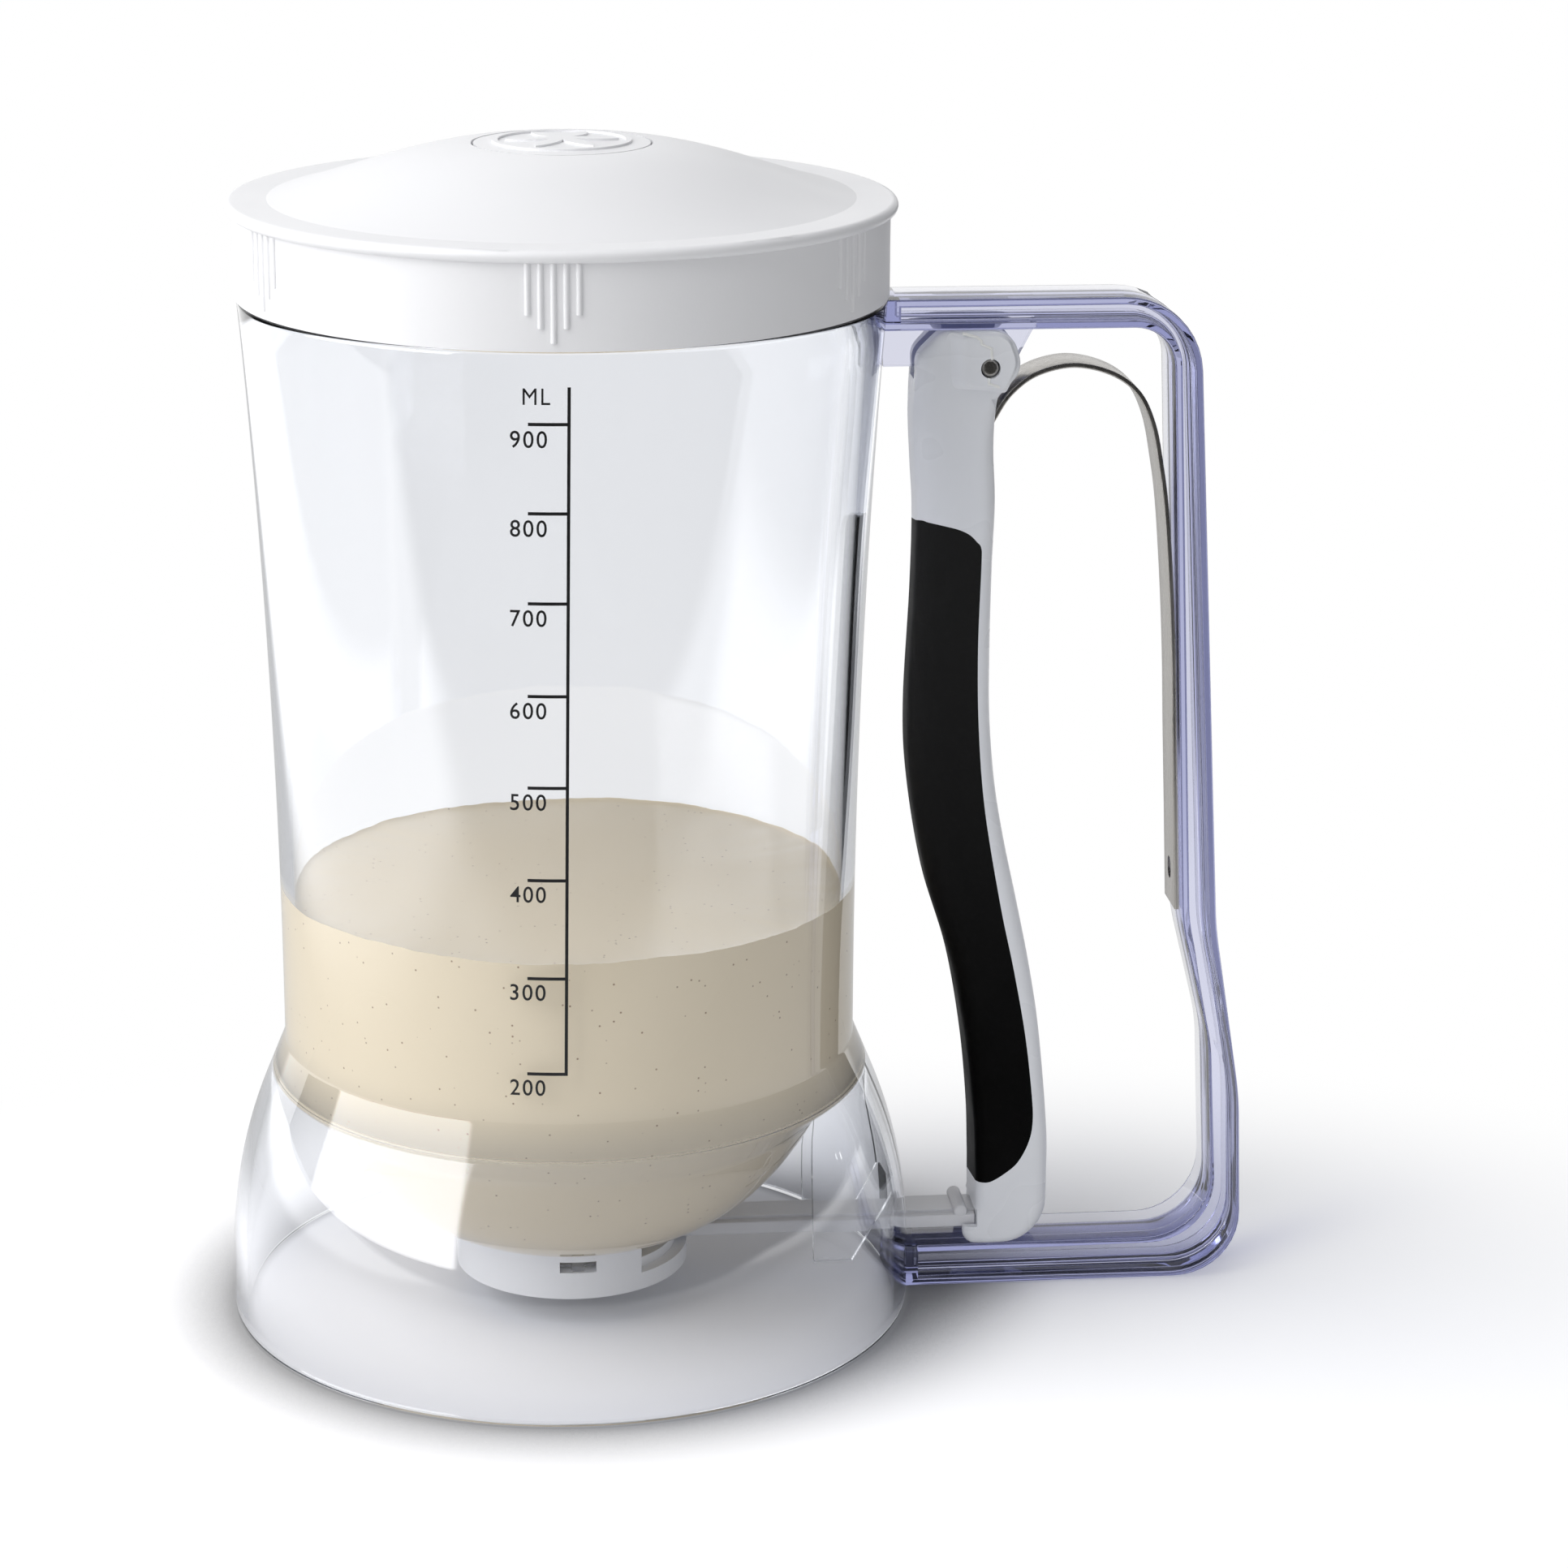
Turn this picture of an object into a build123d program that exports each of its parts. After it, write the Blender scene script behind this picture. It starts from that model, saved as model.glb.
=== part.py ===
from build123d import *
import os
from math import atan2, cos, degrees, radians, sin, sqrt, tan

# Pancake batter dispenser: a clear jug on a flared skirt, a C-shaped handle on +X, a squeeze lever
# that pulls a sliding gate under the bowl, and a loose lid.
# Frame: origin on the jug's axis where the skirt stands, +Z up, handle towards +X. Millimetres.

# ---------------------------------------------------------------- driving dimensions

# Jug wall, as radii from the axis and heights above the table
BODY_R = 47.4  # outside of the straight stretch above the skirt
BODY_FLARE_Z = 57.0  # where the wall starts to flare
BODY_TOP_R = 51.75  # outside at the shoulder under the lid
SHOULDER_Z = 171.2
BODY_WALL = 2.2
BODY_TOP_WALL = 2.9
NECK_STEP = 1.55  # the neck is this much smaller than the shoulder
NECK_H = 12.9

# Bowl under the jug: one arc up to a waist, then a cone up to the skirt
BOWL_ARC_R = 34.6
BOWL_ARC_CENTRE_R = 8.5
BOWL_ARC_CENTRE_Z = 46.2
BOWL_FOOT_R = 19.5
BOWL_WAIST_ANGLE = 20.06  # degrees below the arc's centre where the cone starts
BOWL_FOOT_STEP = 1.5  # the inside turns into the floor this much nearer the axis
BOWL_KNEE_SHARE = 0.88  # share of the cone's inside that the rounding up into the wall takes
BOWL_WALL = 2.0
FLOOR_T = 1.9
OUTLET_R = 8.5

# Skirt: a cone that turns into an arc and ends upright
SKIRT_FLARE = 9.6  # its foot stands out this far beyond the jug
SKIRT_TOP_Z = 47.3
SKIRT_SLOPE = 22.5  # degrees from the vertical
SKIRT_FOOT_Z = 8.45  # upright below this
SKIRT_WALL = 2.0
SKIRT_LIP_R = 0.6  # rounding of the rim that stands on the table

# Rod window in the skirt, with a guide cheek on each side of the rod
WINDOW_TOP_Z = 19.0
WINDOW_GAP = 0.7  # above the handle's lower arm
WINDOW_CORNER = 2.5
CHEEK_T = 1.5
CHEEK_X = 40.6
CHEEK_BOTTOM_Z = 6.0
CHEEK_FLAT = 6.5  # length of its bottom edge before it slants up to the skirt
CHEEK_SLANT = 57.0  # degrees

# Handle frame
HANDLE_W = 12.5
HANDLE_DROP = 1.1  # its top lies this far below the shoulder
HANDLE_TOP_ARM_T = 5.0
HANDLE_LOW_ARM_T = 7.5
HANDLE_FLANGE = 1.25
HANDLE_WEB = 4.2  # thickness left between the two side grooves
HANDLE_ROUND = 0.5
GROOVE_END_WEB = 1.8
# Corners of the outer and inner outlines between the two arms: distance out from the jug's shoulder
# radius, height where it isn't an arm's own, and rounding
HANDLE_OUTER = [(50.35, 13.0), (56.6, 63.0, 60.0), (61.55, 32.7, 60.0), (62.85, 11.0)]
HANDLE_INNER = [(57.65, 11.0), (55.85, 43.5, 35.0), (50.75, 64.0, 35.0), (46.15, 6.6)]

# Pivot of the lever
PIN_OUT = 16.15  # from the shoulder radius
PIN_DROP = 11.0  # below the handle's top
PIN_R = 1.5
PIN_RUN = 0.06  # radial clearance of the lever on the pin
PIN_HEAD_RECESS = 0.6
PIN_TAIL = 1.3
LUG_T = 4.0
LUG_BOSS_R = 4.2
LUG_LEFT = 17.2  # from the pin towards the jug, into its wall
LUG_LEFT_LEAN = 0.8
LUG_RIGHT = 8.1
LUG_RIGHT_LEAN = 2.4
LUG_DROP = 6.3
LUG_STEP = 1.0  # the right-hand corner sits this much higher
RETAINER_R = 3.2
RETAINER_T = 0.5
RETAINER_GAP = 0.2

# Squeeze lever
LEVER_W = 13.2
LEVER_EDGE_R = 2.2
# Corners of its side view, each with its rounding. The head's are measured from the pivot.
LEVER_HEAD_FRONT = [(-7.3, 5.7, 2.5), (-11.8, 1.5, 4.0), (-11.9, -9.1, 40.0), (-10.9, -25.1, 90.0)]
LEVER_HEAD_REAR = [(2.6, -8.5, 4.0), (6.3, -4.1, 3.0), (6.1, 5.7, 5.5)]
# The others' are measured from the shoulder radius and the table
LEVER_BELLY = (2.75, 91.0, 180.0)
LEVER_KNEE = (15.75, 37.9, 110.0)
LEVER_TOE = (15.75, 8.0, 2.5)
LEVER_HEEL = (29.45, 8.0, 5.5)
LEVER_CALF = (29.45, 39.1, 120.0)
LEVER_WAIST = (17.85, 94.3, 170.0)
ROUNDING_ROOM = 0.98  # share of each straight run that the roundings at its ends may take
SEAM_IN = 3.0  # the rear cover is this thick
COVER_TOP_DROP = 11.1  # below the pivot
COVER_TURN_Z = 34.1  # below this it also takes half of the toe
GRIP_T = 2.0
GRIP_TOP_DROP = 26.7  # below the pivot, where its upper edge meets the seam
GRIP_TOP_RISE = 5.0  # and how much higher it is beyond the jug side
GRIP_TOP_R = 4.5
GRIP_BOTTOM_Z = 18.3
GRIP_BOTTOM_R = 8.0
GRIP_BOTTOM_RISE = 1.0
GRIP_NECK_IN = 2.0  # its upper edge meets the seam this far in from the lever's waist
GRIP_END_R = 1.0  # rounding of the corners that lie outside the lever
LEVER_HOLLOW = 2.4  # wall left around the hollow in the lever's core
LEVER_HOLLOW_DROP = 31.1  # its top below the pivot
LEVER_HOLLOW_BOTTOM_Z = 26.0
CLEVIS_GAP = 0.3
CLEVIS_DEPTH = 5.7  # below the pivot

# Sliding gate
GATE_T = 2.2
GATE_Z = 10.5  # its underside
GATE_R = 11.5
GATE_GAP = 0.1  # between the gate and the ring's floor
ROD_W = 12.4
ROD_IN = 1.1  # its end lies this far inside the lever's toe
ROD_RIB_R = 1.15
ROD_RIB_RISE = 0.5  # its middle above the rod's top
ROD_RIB_OUT = 1.5  # the rib's middle before the lever's toe
TONGUE_W = 6.0
HOOK_IN = 4.1  # inside the lever's toe
HOOK_T = 2.0
HOOK_W = 9.6
HOOK_PLAY = 0.6  # free space in the lever's slot before the hook
HOOK_FREE = 1.6  # and behind it
HOOK_HEADROOM = 1.0
ROD_CLEAR = 0.4

# Valve ring under the bowl
RING_R = 19.5
RING_WALL = 2.0
RING_BOTTOM_Z = 5.8
RING_FLOOR_T = 2.4
RING_HOLE_R = 9.5
RING_TOP_GAP = 0.1
RING_SLOT_Z = 8.7
RING_SLOT_HALF = 16.3
RAIL_T = 1.4
LUG_WINDOW_W = 6.1
LUG_WINDOW_H = 1.9
SNAP_LUG_W = 2.0
SNAP_WALL_T = 1.4
SNAP_WALL_W = 10.0
RING_FIT = 0.2

# Seal round the outlet
SEAL_IN_R = 9.3
SEAL_W = 1.7
SEAL_DEPTH = 1.0
SEAL_GAP = 0.08

# Leaf spring
SPRING_T = 0.8
SPRING_W = 9.0
SPRING_END_Z = 66.0
SPRING_SLOT_H = 4.0
SPRING_SLOT_W = 3.0
SPRING_LAID_Z = [110.0, 95.0, 80.0]  # where it already lies on the handle, besides its end
# Its middle line from the lever's hollow over the arch, measured from the pivot
SPRING_TAIL = [(-1.7, -22.1), (-1.5, -16.6), (-0.2, -11.9)]
SPRING_ARCH = [(3.2, -7.5), (6.2, -3.5), (10.7, -0.9), (14.5, -0.4), (19.1, -1.2), (24.1, -4.1)]
SPRING_FALL = [(3.28, -11.1), (1.47, -24.1)]  # (distance from the handle's face, height from the pivot)
SPRING_SEAT_GAP = 0.15
SPRING_SLOT_CLEAR = 0.15

# Lid
LID_BAND_OUT = 0.25  # its band stands out this far beyond the jug's shoulder
LID_LIP_OUT = 1.2  # and its lip beyond the band
LID_LIP_T = 2.0
LID_PLATE_T = 2.3  # over the neck
LID_T = 1.7
LID_SHELF_IN = 2.25  # the dome starts this far inside the mouth
LID_FIT = 0.3
LID_SEAT_GAP = 0.1
BADGE_R = 14.0
BADGE_GAP = 0.4
# Dome of the lid between its shelf and the recess for the badge, (radius, rise above the shelf)
LID_DOME = [(40.0, 1.9), (30.0, 5.1), (20.0, 7.6)]
LID_CROWN = 8.35  # rise at the recess
BADGE_T = 1.4
BADGE_CROWN = 0.4
BADGE_RING_R = 10.6
BADGE_RING_W = 0.9
BADGE_EMBOSS = 0.35
PETALS = 6
PETAL_R = 8.6
PETAL_JOIN = 0.4  # the petals run this far into each other at the middle
RIB_GROUPS = 6
RIB_START = -4.6  # degrees from -Y towards +X, the middle of the front group
RIB_PITCH = 2.11
RIB_LIFTS = [5.5, 3.5, 1.3, 3.5, 5.5]  # each rib's lower end above the band's edge
RIB_R = 0.45
RIB_SUNK = 0.05

# Printed scale on the jug, at the front
SCALE_ANGLE = -3.0  # degrees from -Y towards +X
SCALE_TICKS = [56.0, 71.8, 87.9, 102.9, 117.6, 132.3, 146.4, 160.2]
SCALE_LINE_DROP = 5.3  # its top below the shoulder
SCALE_LINE_W = 0.5
SCALE_TICK_L = 6.1
SCALE_INK = 0.1
SCALE_GAP = 0.05

# Batter in the jug
BATTER_Z = 73.0
BATTER_GAP = 0.05

# ---------------------------------------------------------------- worked-out sizes

NECK_R = BODY_TOP_R - NECK_STEP
NECK_TOP_Z = SHOULDER_Z + NECK_H
MOUTH_R = BODY_TOP_R - BODY_TOP_WALL
BODY_IN_R = BODY_R - BODY_WALL
BASE_R = BODY_R + SKIRT_FLARE
SKIRT_TAPER = (SKIRT_TOP_Z - SKIRT_FOOT_Z) * tan(radians(SKIRT_SLOPE))
SKIRT_ARC_R = (SKIRT_TAPER - SKIRT_FLARE) / (1 / cos(radians(SKIRT_SLOPE)) - 1)
APEX_Z = SKIRT_TOP_Z - SKIRT_WALL / sin(radians(SKIRT_SLOPE))
HANDLE_TOP_Z = SHOULDER_Z - HANDLE_DROP
PIN_X = BODY_TOP_R + PIN_OUT
PIN_Z = HANDLE_TOP_Z - PIN_DROP
LEVER_TOE_X = BODY_TOP_R + LEVER_TOE[0]
LEVER_HEEL_X = BODY_TOP_R + LEVER_HEEL[0]
LEVER_BELLY_X = BODY_TOP_R + LEVER_BELLY[0]
LEVER_WAIST_X = BODY_TOP_R + LEVER_WAIST[0]
ROD_END_X = LEVER_TOE_X + ROD_IN
HOOK_X = LEVER_TOE_X + HOOK_IN
GATE_TOP_Z = GATE_Z + GATE_T
HANDLE_HALF = HANDLE_W / 2
LEVER_HALF = LEVER_W / 2
CORE_HALF = LEVER_HALF - GRIP_T
WINDOW_HALF = ROD_W / 2 + ROD_CLEAR
WINDOW_BOTTOM_Z = HANDLE_LOW_ARM_T + WINDOW_GAP
RING_IN_R = RING_R - RING_WALL
RING_FLOOR_Z = GATE_Z - GATE_GAP
SEAL_OUT_R = SEAL_IN_R + SEAL_W
LID_UNDER_Z = NECK_TOP_Z + LID_SEAT_GAP
LID_TOP_Z = LID_UNDER_Z + LID_PLATE_T
LID_BAND_R = BODY_TOP_R + LID_BAND_OUT
LID_LIP_R = LID_BAND_R + LID_LIP_OUT
LID_SHELF_R = MOUTH_R - LID_SHELF_IN
BADGE_SEAT_Z = LID_TOP_Z + LID_CROWN - BADGE_T
LID_BAND_Z = SHOULDER_Z + LID_SEAT_GAP


def bowl_z(r, wall=0.0):
    """Height of the bowl's arc at radius r, on the outside or a wall thickness inside it."""
    arc = BOWL_ARC_R - wall
    return BOWL_ARC_CENTRE_Z - sqrt(arc**2 - (r - BOWL_ARC_CENTRE_R) ** 2)


FLOOR_Z = bowl_z(BOWL_FOOT_R)
BOWL_WAIST_R = BOWL_ARC_CENTRE_R + BOWL_ARC_R * cos(radians(BOWL_WAIST_ANGLE))
WAIST = (BOWL_WAIST_R, bowl_z(BOWL_WAIST_R))
CONE = (BODY_R - BOWL_WAIST_R, APEX_Z - WAIST[1])
CONE_L = sqrt(CONE[0] ** 2 + CONE[1] ** 2)
CONE_SHIFT = (-CONE[1] / CONE_L, CONE[0] / CONE_L)
CONE_TURN = atan2(*CONE)  # from the vertical


def handle_inner_x(z):
    """X of the handle's inner face on its long straight stretch."""
    low_out, low_z, _ = HANDLE_INNER[2]
    top_out = HANDLE_INNER[3][0]
    top_z = HANDLE_TOP_Z - HANDLE_TOP_ARM_T
    return BODY_TOP_R + low_out + (top_out - low_out) * (z - low_z) / (top_z - low_z)


# ---------------------------------------------------------------- small helpers


def turned(*edges):
    """Solid of revolution about Z from edges given as (radius, height)."""
    return revolve(Plane.XZ * make_face(list(edges)), Axis.Z)


def slab(face, half, offset=0.0):
    """A face drawn as (x, z), made 2 * half thick about Y = offset."""
    return Pos(0, offset, 0) * extrude(Plane.XZ * face, half, both=True)


def block(x0, x1, y0, y1, z0, z1):
    """Box between two corners."""
    return Pos((x0 + x1) / 2, (y0 + y1) / 2, (z0 + z1) / 2) * Box(x1 - x0, y1 - y0, z1 - z0)


def tube(out_r, in_r, z0, z1):
    """Upright tube about the Z axis."""
    body = Pos(0, 0, (z0 + z1) / 2) * Cylinder(out_r, z1 - z0)
    return body - Pos(0, 0, (z0 + z1) / 2) * Cylinder(in_r, z1 - z0)


def cross_pin(r, x, z, y0, y1):
    """Cylinder along Y."""
    return Pos(x, (y0 + y1) / 2, z) * Rot(90, 0, 0) * Cylinder(r, y1 - y0)


def save(name, shape):
    """Write one node's STEP file."""
    export_step(shape, os.path.join("parts", name + ".step"))


# ---------------------------------------------------------------- clear mouldings


def bowl_inside(gap=0.0):
    """Edges of the jug's inside from the outlet up to the flare, moved in by gap."""
    wall = BOWL_WALL + gap
    waist_r = BOWL_WAIST_R + CONE_SHIFT[0] * wall
    waist = (waist_r, bowl_z(waist_r, wall))
    top_r = BODY_IN_R - gap
    top_z = waist[1] + (top_r - waist_r) * CONE[1] / CONE[0]
    cone = (top_r - waist_r) / sin(CONE_TURN)
    knee_r = BOWL_KNEE_SHARE * cone / tan(CONE_TURN / 2)
    knee = FilletPolyline(waist, (top_r, top_z), (top_r, BODY_FLARE_Z), radius=knee_r)
    foot_r = BOWL_FOOT_R - BOWL_FOOT_STEP
    foot = (foot_r, bowl_z(foot_r, wall))
    middle_r = (foot_r + waist_r) / 2
    floor = (OUTLET_R - gap, FLOOR_Z + FLOOR_T + gap)
    return [
        Line(floor, foot),
        ThreePointArc(foot, (middle_r, bowl_z(middle_r, wall)), waist),
        *knee.edges(),
    ]


def make_jug():
    """Jug wall, neck, bowl and the two snap walls that carry the valve ring."""
    middle_r = (BOWL_FOOT_R + BOWL_WAIST_R) / 2
    body = turned(
        Line((OUTLET_R, FLOOR_Z + FLOOR_T), (OUTLET_R, FLOOR_Z)),
        Line((OUTLET_R, FLOOR_Z), (BOWL_FOOT_R, FLOOR_Z)),
        ThreePointArc((BOWL_FOOT_R, FLOOR_Z), (middle_r, bowl_z(middle_r)), WAIST),
        Line(WAIST, (BODY_R, APEX_Z)),
        Line((BODY_R, APEX_Z), (BODY_R, BODY_FLARE_Z)),
        TangentArc((BODY_R, BODY_FLARE_Z), (BODY_TOP_R, SHOULDER_Z), tangent=(0, 1)),
        Line((BODY_TOP_R, SHOULDER_Z), (NECK_R, SHOULDER_Z)),
        Line((NECK_R, SHOULDER_Z), (NECK_R, NECK_TOP_Z)),
        Line((NECK_R, NECK_TOP_Z), (MOUTH_R, NECK_TOP_Z)),
        Line((MOUTH_R, NECK_TOP_Z), (MOUTH_R, SHOULDER_Z)),
        TangentArc((BODY_IN_R, BODY_FLARE_Z), (MOUTH_R, SHOULDER_Z), tangent=(0, 1)),
        *bowl_inside(),
    )
    body -= tube(SEAL_OUT_R, SEAL_IN_R, FLOOR_Z, FLOOR_Z + SEAL_DEPTH)
    return body + make_snaps()


def make_snaps():
    """Two walls under the bowl, front and back, each with a lug for the ring's window."""
    out_r = RING_IN_R - RING_FIT
    low_z = RING_FLOOR_Z + RING_FIT
    wall = tube(out_r, out_r - SNAP_WALL_T, low_z, FLOOR_Z)
    half = SNAP_WALL_W / 2
    lug_half = SNAP_LUG_W / 2
    top_z = RING_FLOOR_Z + LUG_WINDOW_H - RING_FIT
    snaps = wall & block(-half, half, 0, out_r, low_z, FLOOR_Z)
    snaps += block(-lug_half, lug_half, out_r - SNAP_WALL_T / 2, RING_R - RING_FIT, low_z, top_z)
    return snaps + mirror(snaps, Plane.XZ)


def skirt_edges(inset):
    """Edges of the skirt from its top down to the table, moved in by inset."""
    slope = radians(SKIRT_SLOPE)
    arc_r = SKIRT_ARC_R - inset
    centre_r = BASE_R - SKIRT_ARC_R
    centre_z = SKIRT_FOOT_Z
    start = (centre_r + arc_r * cos(slope), centre_z + arc_r * sin(slope))
    middle = (centre_r + arc_r * cos(slope / 2), centre_z + arc_r * sin(slope / 2))
    end = (centre_r + arc_r, centre_z)
    top_z = SKIRT_TOP_Z if inset == 0 else APEX_Z
    return [
        Line((BODY_R, top_z), start),
        ThreePointArc(start, middle, end),
        Line(end, (end[0], SKIRT_LIP_R)),
    ]


def make_skirt():
    """Skirt with the rod window and the two guide cheeks."""
    lip_out = (BASE_R, SKIRT_LIP_R)
    lip_in = (BASE_R - SKIRT_WALL, SKIRT_LIP_R)
    shell = turned(
        *skirt_edges(0),
        TangentArc(lip_out, (BASE_R - SKIRT_LIP_R, 0), tangent=(0, -1)),
        Line((BASE_R - SKIRT_LIP_R, 0), (BASE_R - SKIRT_WALL + SKIRT_LIP_R, 0)),
        TangentArc(lip_in, (BASE_R - SKIRT_WALL + SKIRT_LIP_R, 0), tangent=(0, -1)),
        *skirt_edges(SKIRT_WALL),
        Line((BODY_R, APEX_Z), (BODY_R, SKIRT_TOP_Z)),
    )
    window = block(CHEEK_X, BASE_R + SKIRT_WALL, -WINDOW_HALF, WINDOW_HALF, WINDOW_BOTTOM_Z, WINDOW_TOP_Z)
    shell -= fillet(window.edges().filter_by(Axis.X), WINDOW_CORNER)
    return shell + make_cheeks()


def make_cheeks():
    """The two plates that guide the rod between bowl and skirt."""
    slant_x = CHEEK_X + CHEEK_FLAT
    far_x = BASE_R
    slant_z = CHEEK_BOTTOM_Z + (far_x - slant_x) * tan(radians(CHEEK_SLANT))
    outline = make_face(
        Polyline(
            (CHEEK_X, CHEEK_BOTTOM_Z),
            (slant_x, CHEEK_BOTTOM_Z),
            (far_x, slant_z),
            (far_x, SKIRT_TOP_Z),
            (CHEEK_X, SKIRT_TOP_Z),
            close=True,
        )
    )
    under_bowl = turned(
        ThreePointArc(
            (BOWL_FOOT_R, FLOOR_Z),
            ((BOWL_FOOT_R + BOWL_WAIST_R) / 2, bowl_z((BOWL_FOOT_R + BOWL_WAIST_R) / 2)),
            WAIST,
        ),
        Line(WAIST, (BODY_R, APEX_Z)),
        *skirt_edges(SKIRT_WALL / 2),
        Line((BASE_R - SKIRT_WALL / 2, SKIRT_LIP_R), (BOWL_FOOT_R, SKIRT_LIP_R)),
        Line((BOWL_FOOT_R, SKIRT_LIP_R), (BOWL_FOOT_R, FLOOR_Z)),
    )
    middle_y = WINDOW_HALF + CHEEK_T / 2
    plates = slab(outline, CHEEK_T / 2, middle_y) + slab(outline, CHEEK_T / 2, -middle_y)
    return plates & under_bowl


def from_shoulder(corners):
    """Corners whose first number is counted from the shoulder radius, as counted from the axis."""
    return [(BODY_TOP_R + out, *rest) for out, *rest in corners]


def handle_outline():
    """C-shaped outline of the handle as an (x, z) face, with both arms running into the jug."""
    low_z = HANDLE_LOW_ARM_T
    arm_z = HANDLE_TOP_Z - HANDLE_TOP_ARM_T
    (ax, ar), (bx, bz, br), (cx, cz, cr), (dx, dr) = from_shoulder(HANDLE_OUTER)
    (gx, gr), (fx, fz, fr), (ex, ez, er), (hx, hr) = from_shoulder(HANDLE_INNER)
    root_x = BODY_IN_R
    outer = FilletPolyline(
        (root_x, HANDLE_TOP_Z),
        (ax, HANDLE_TOP_Z),
        (bx, bz),
        (cx, cz),
        (dx, 0),
        (root_x, 0),
        radius=[ar, br, cr, dr],
    )
    inner = FilletPolyline(
        (root_x, low_z),
        (gx, low_z),
        (fx, fz),
        (ex, ez),
        (hx, arm_z),
        (root_x, arm_z),
        radius=[gr, fr, er, hr],
    )
    return make_face(
        [
            *outer.edges(),
            Line((root_x, 0), (root_x, low_z)),
            *inner.edges(),
            Line((root_x, arm_z), (root_x, HANDLE_TOP_Z)),
        ]
    )


def lug_outline():
    """Plate under the top arm that carries the pivot pin, as an (x, z) face."""
    top_z = HANDLE_TOP_Z - HANDLE_TOP_ARM_T + HANDLE_FLANGE
    low_z = HANDLE_TOP_Z - HANDLE_TOP_ARM_T - LUG_DROP
    left_x = PIN_X - LUG_LEFT
    right_x = PIN_X + LUG_RIGHT
    plate = make_face(
        Polyline(
            (left_x, top_z),
            (left_x + LUG_LEFT_LEAN, low_z),
            (PIN_X - LUG_BOSS_R, low_z),
            (PIN_X, PIN_Z),
            (right_x - LUG_RIGHT_LEAN, low_z + LUG_STEP),
            (right_x, top_z),
            close=True,
        )
    )
    return plate + Pos(PIN_X, PIN_Z) * Circle(LUG_BOSS_R)


def jug_outside():
    """Everything inside the outer faces of jug and skirt, to trim what is joined to them."""
    return turned(
        Line((0, 0), (BASE_R, 0)),
        Line((BASE_R, 0), (BASE_R, SKIRT_LIP_R)),
        *skirt_edges(0),
        Line((BODY_R, SKIRT_TOP_Z), (BODY_R, BODY_FLARE_Z)),
        TangentArc((BODY_R, BODY_FLARE_Z), (BODY_TOP_R, SHOULDER_Z), tangent=(0, 1)),
        Line((BODY_TOP_R, SHOULDER_Z), (0, SHOULDER_Z)),
        Line((0, SHOULDER_Z), (0, 0)),
    )


def make_handle():
    """Handle frame with its side grooves, its pivot lug and the hole for the pin."""
    outline = handle_outline()
    frame = slab(outline, HANDLE_HALF)
    frame = fillet(frame.faces().filter_by(Axis.Y).edges(), HANDLE_ROUND)
    groove = offset(outline, -HANDLE_FLANGE)
    depth = (HANDLE_HALF - HANDLE_WEB / 2) / 2
    shift = HANDLE_WEB / 2 + depth
    grooves = slab(groove, depth, shift) + slab(groove, depth, -shift)
    far_x = BODY_TOP_R + HANDLE_OUTER[3][0]
    low_end = block(
        BASE_R + GROOVE_END_WEB, far_x, -HANDLE_HALF, HANDLE_HALF, 0, SKIRT_TOP_Z
    )
    high_end = block(
        BODY_TOP_R + GROOVE_END_WEB, far_x, -HANDLE_HALF, HANDLE_HALF, SKIRT_TOP_Z, HANDLE_TOP_Z
    )
    frame -= grooves & (low_end + high_end)
    frame += slab(lug_outline(), LUG_T / 2)
    frame -= cross_pin(PIN_R, PIN_X, PIN_Z, -LUG_T, LUG_T)
    return frame - jug_outside()


# ---------------------------------------------------------------- print and batter


def ink_face():
    """Section of the ink all the way up the jug's wall, as a (radius, height) face."""
    low_z = SCALE_TICKS[0] - SCALE_TICK_L
    low_r, top_r = BODY_R + SCALE_GAP, BODY_TOP_R + SCALE_GAP
    low_out, top_out = low_r + SCALE_INK, top_r + SCALE_INK
    return make_face(
        [
            TangentArc((low_r, BODY_FLARE_Z), (top_r, SHOULDER_Z), tangent=(0, 1)),
            Line((top_r, SHOULDER_Z), (top_out, SHOULDER_Z)),
            TangentArc((low_out, BODY_FLARE_Z), (top_out, SHOULDER_Z), tangent=(0, 1)),
            Line((low_out, BODY_FLARE_Z), (low_out, low_z)),
            Line((low_out, low_z), (low_r, low_z)),
            Line((low_r, low_z), (low_r, BODY_FLARE_Z)),
        ]
    )


def ink_patch(low_z, top_z, start, sweep):
    """Ink between two heights, from one angle about the axis through a sweep, in degrees."""
    band = Pos(BODY_R, (low_z + top_z) / 2) * Rectangle(BODY_R, top_z - low_z)
    return Rot(0, 0, start) * revolve(Plane.XZ * (ink_face() & band), Axis.Z, sweep)


def make_scale():
    """Printed scale: one upright line with a tick at each hundred."""
    middle_r = (BODY_R + BODY_TOP_R) / 2
    line_sweep = degrees(SCALE_LINE_W / middle_r)
    tick_sweep = degrees(SCALE_TICK_L / middle_r)
    azimuth = SCALE_ANGLE - 90
    half = SCALE_LINE_W / 2
    line_start = azimuth - line_sweep / 2
    line_top_z = SHOULDER_Z - SCALE_LINE_DROP
    marks = ink_patch(SCALE_TICKS[0] - half, line_top_z, line_start, line_sweep)
    for z in SCALE_TICKS:
        if z < line_top_z:
            marks += ink_patch(z - half, z + half, azimuth - tick_sweep, tick_sweep)
    return marks


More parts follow.
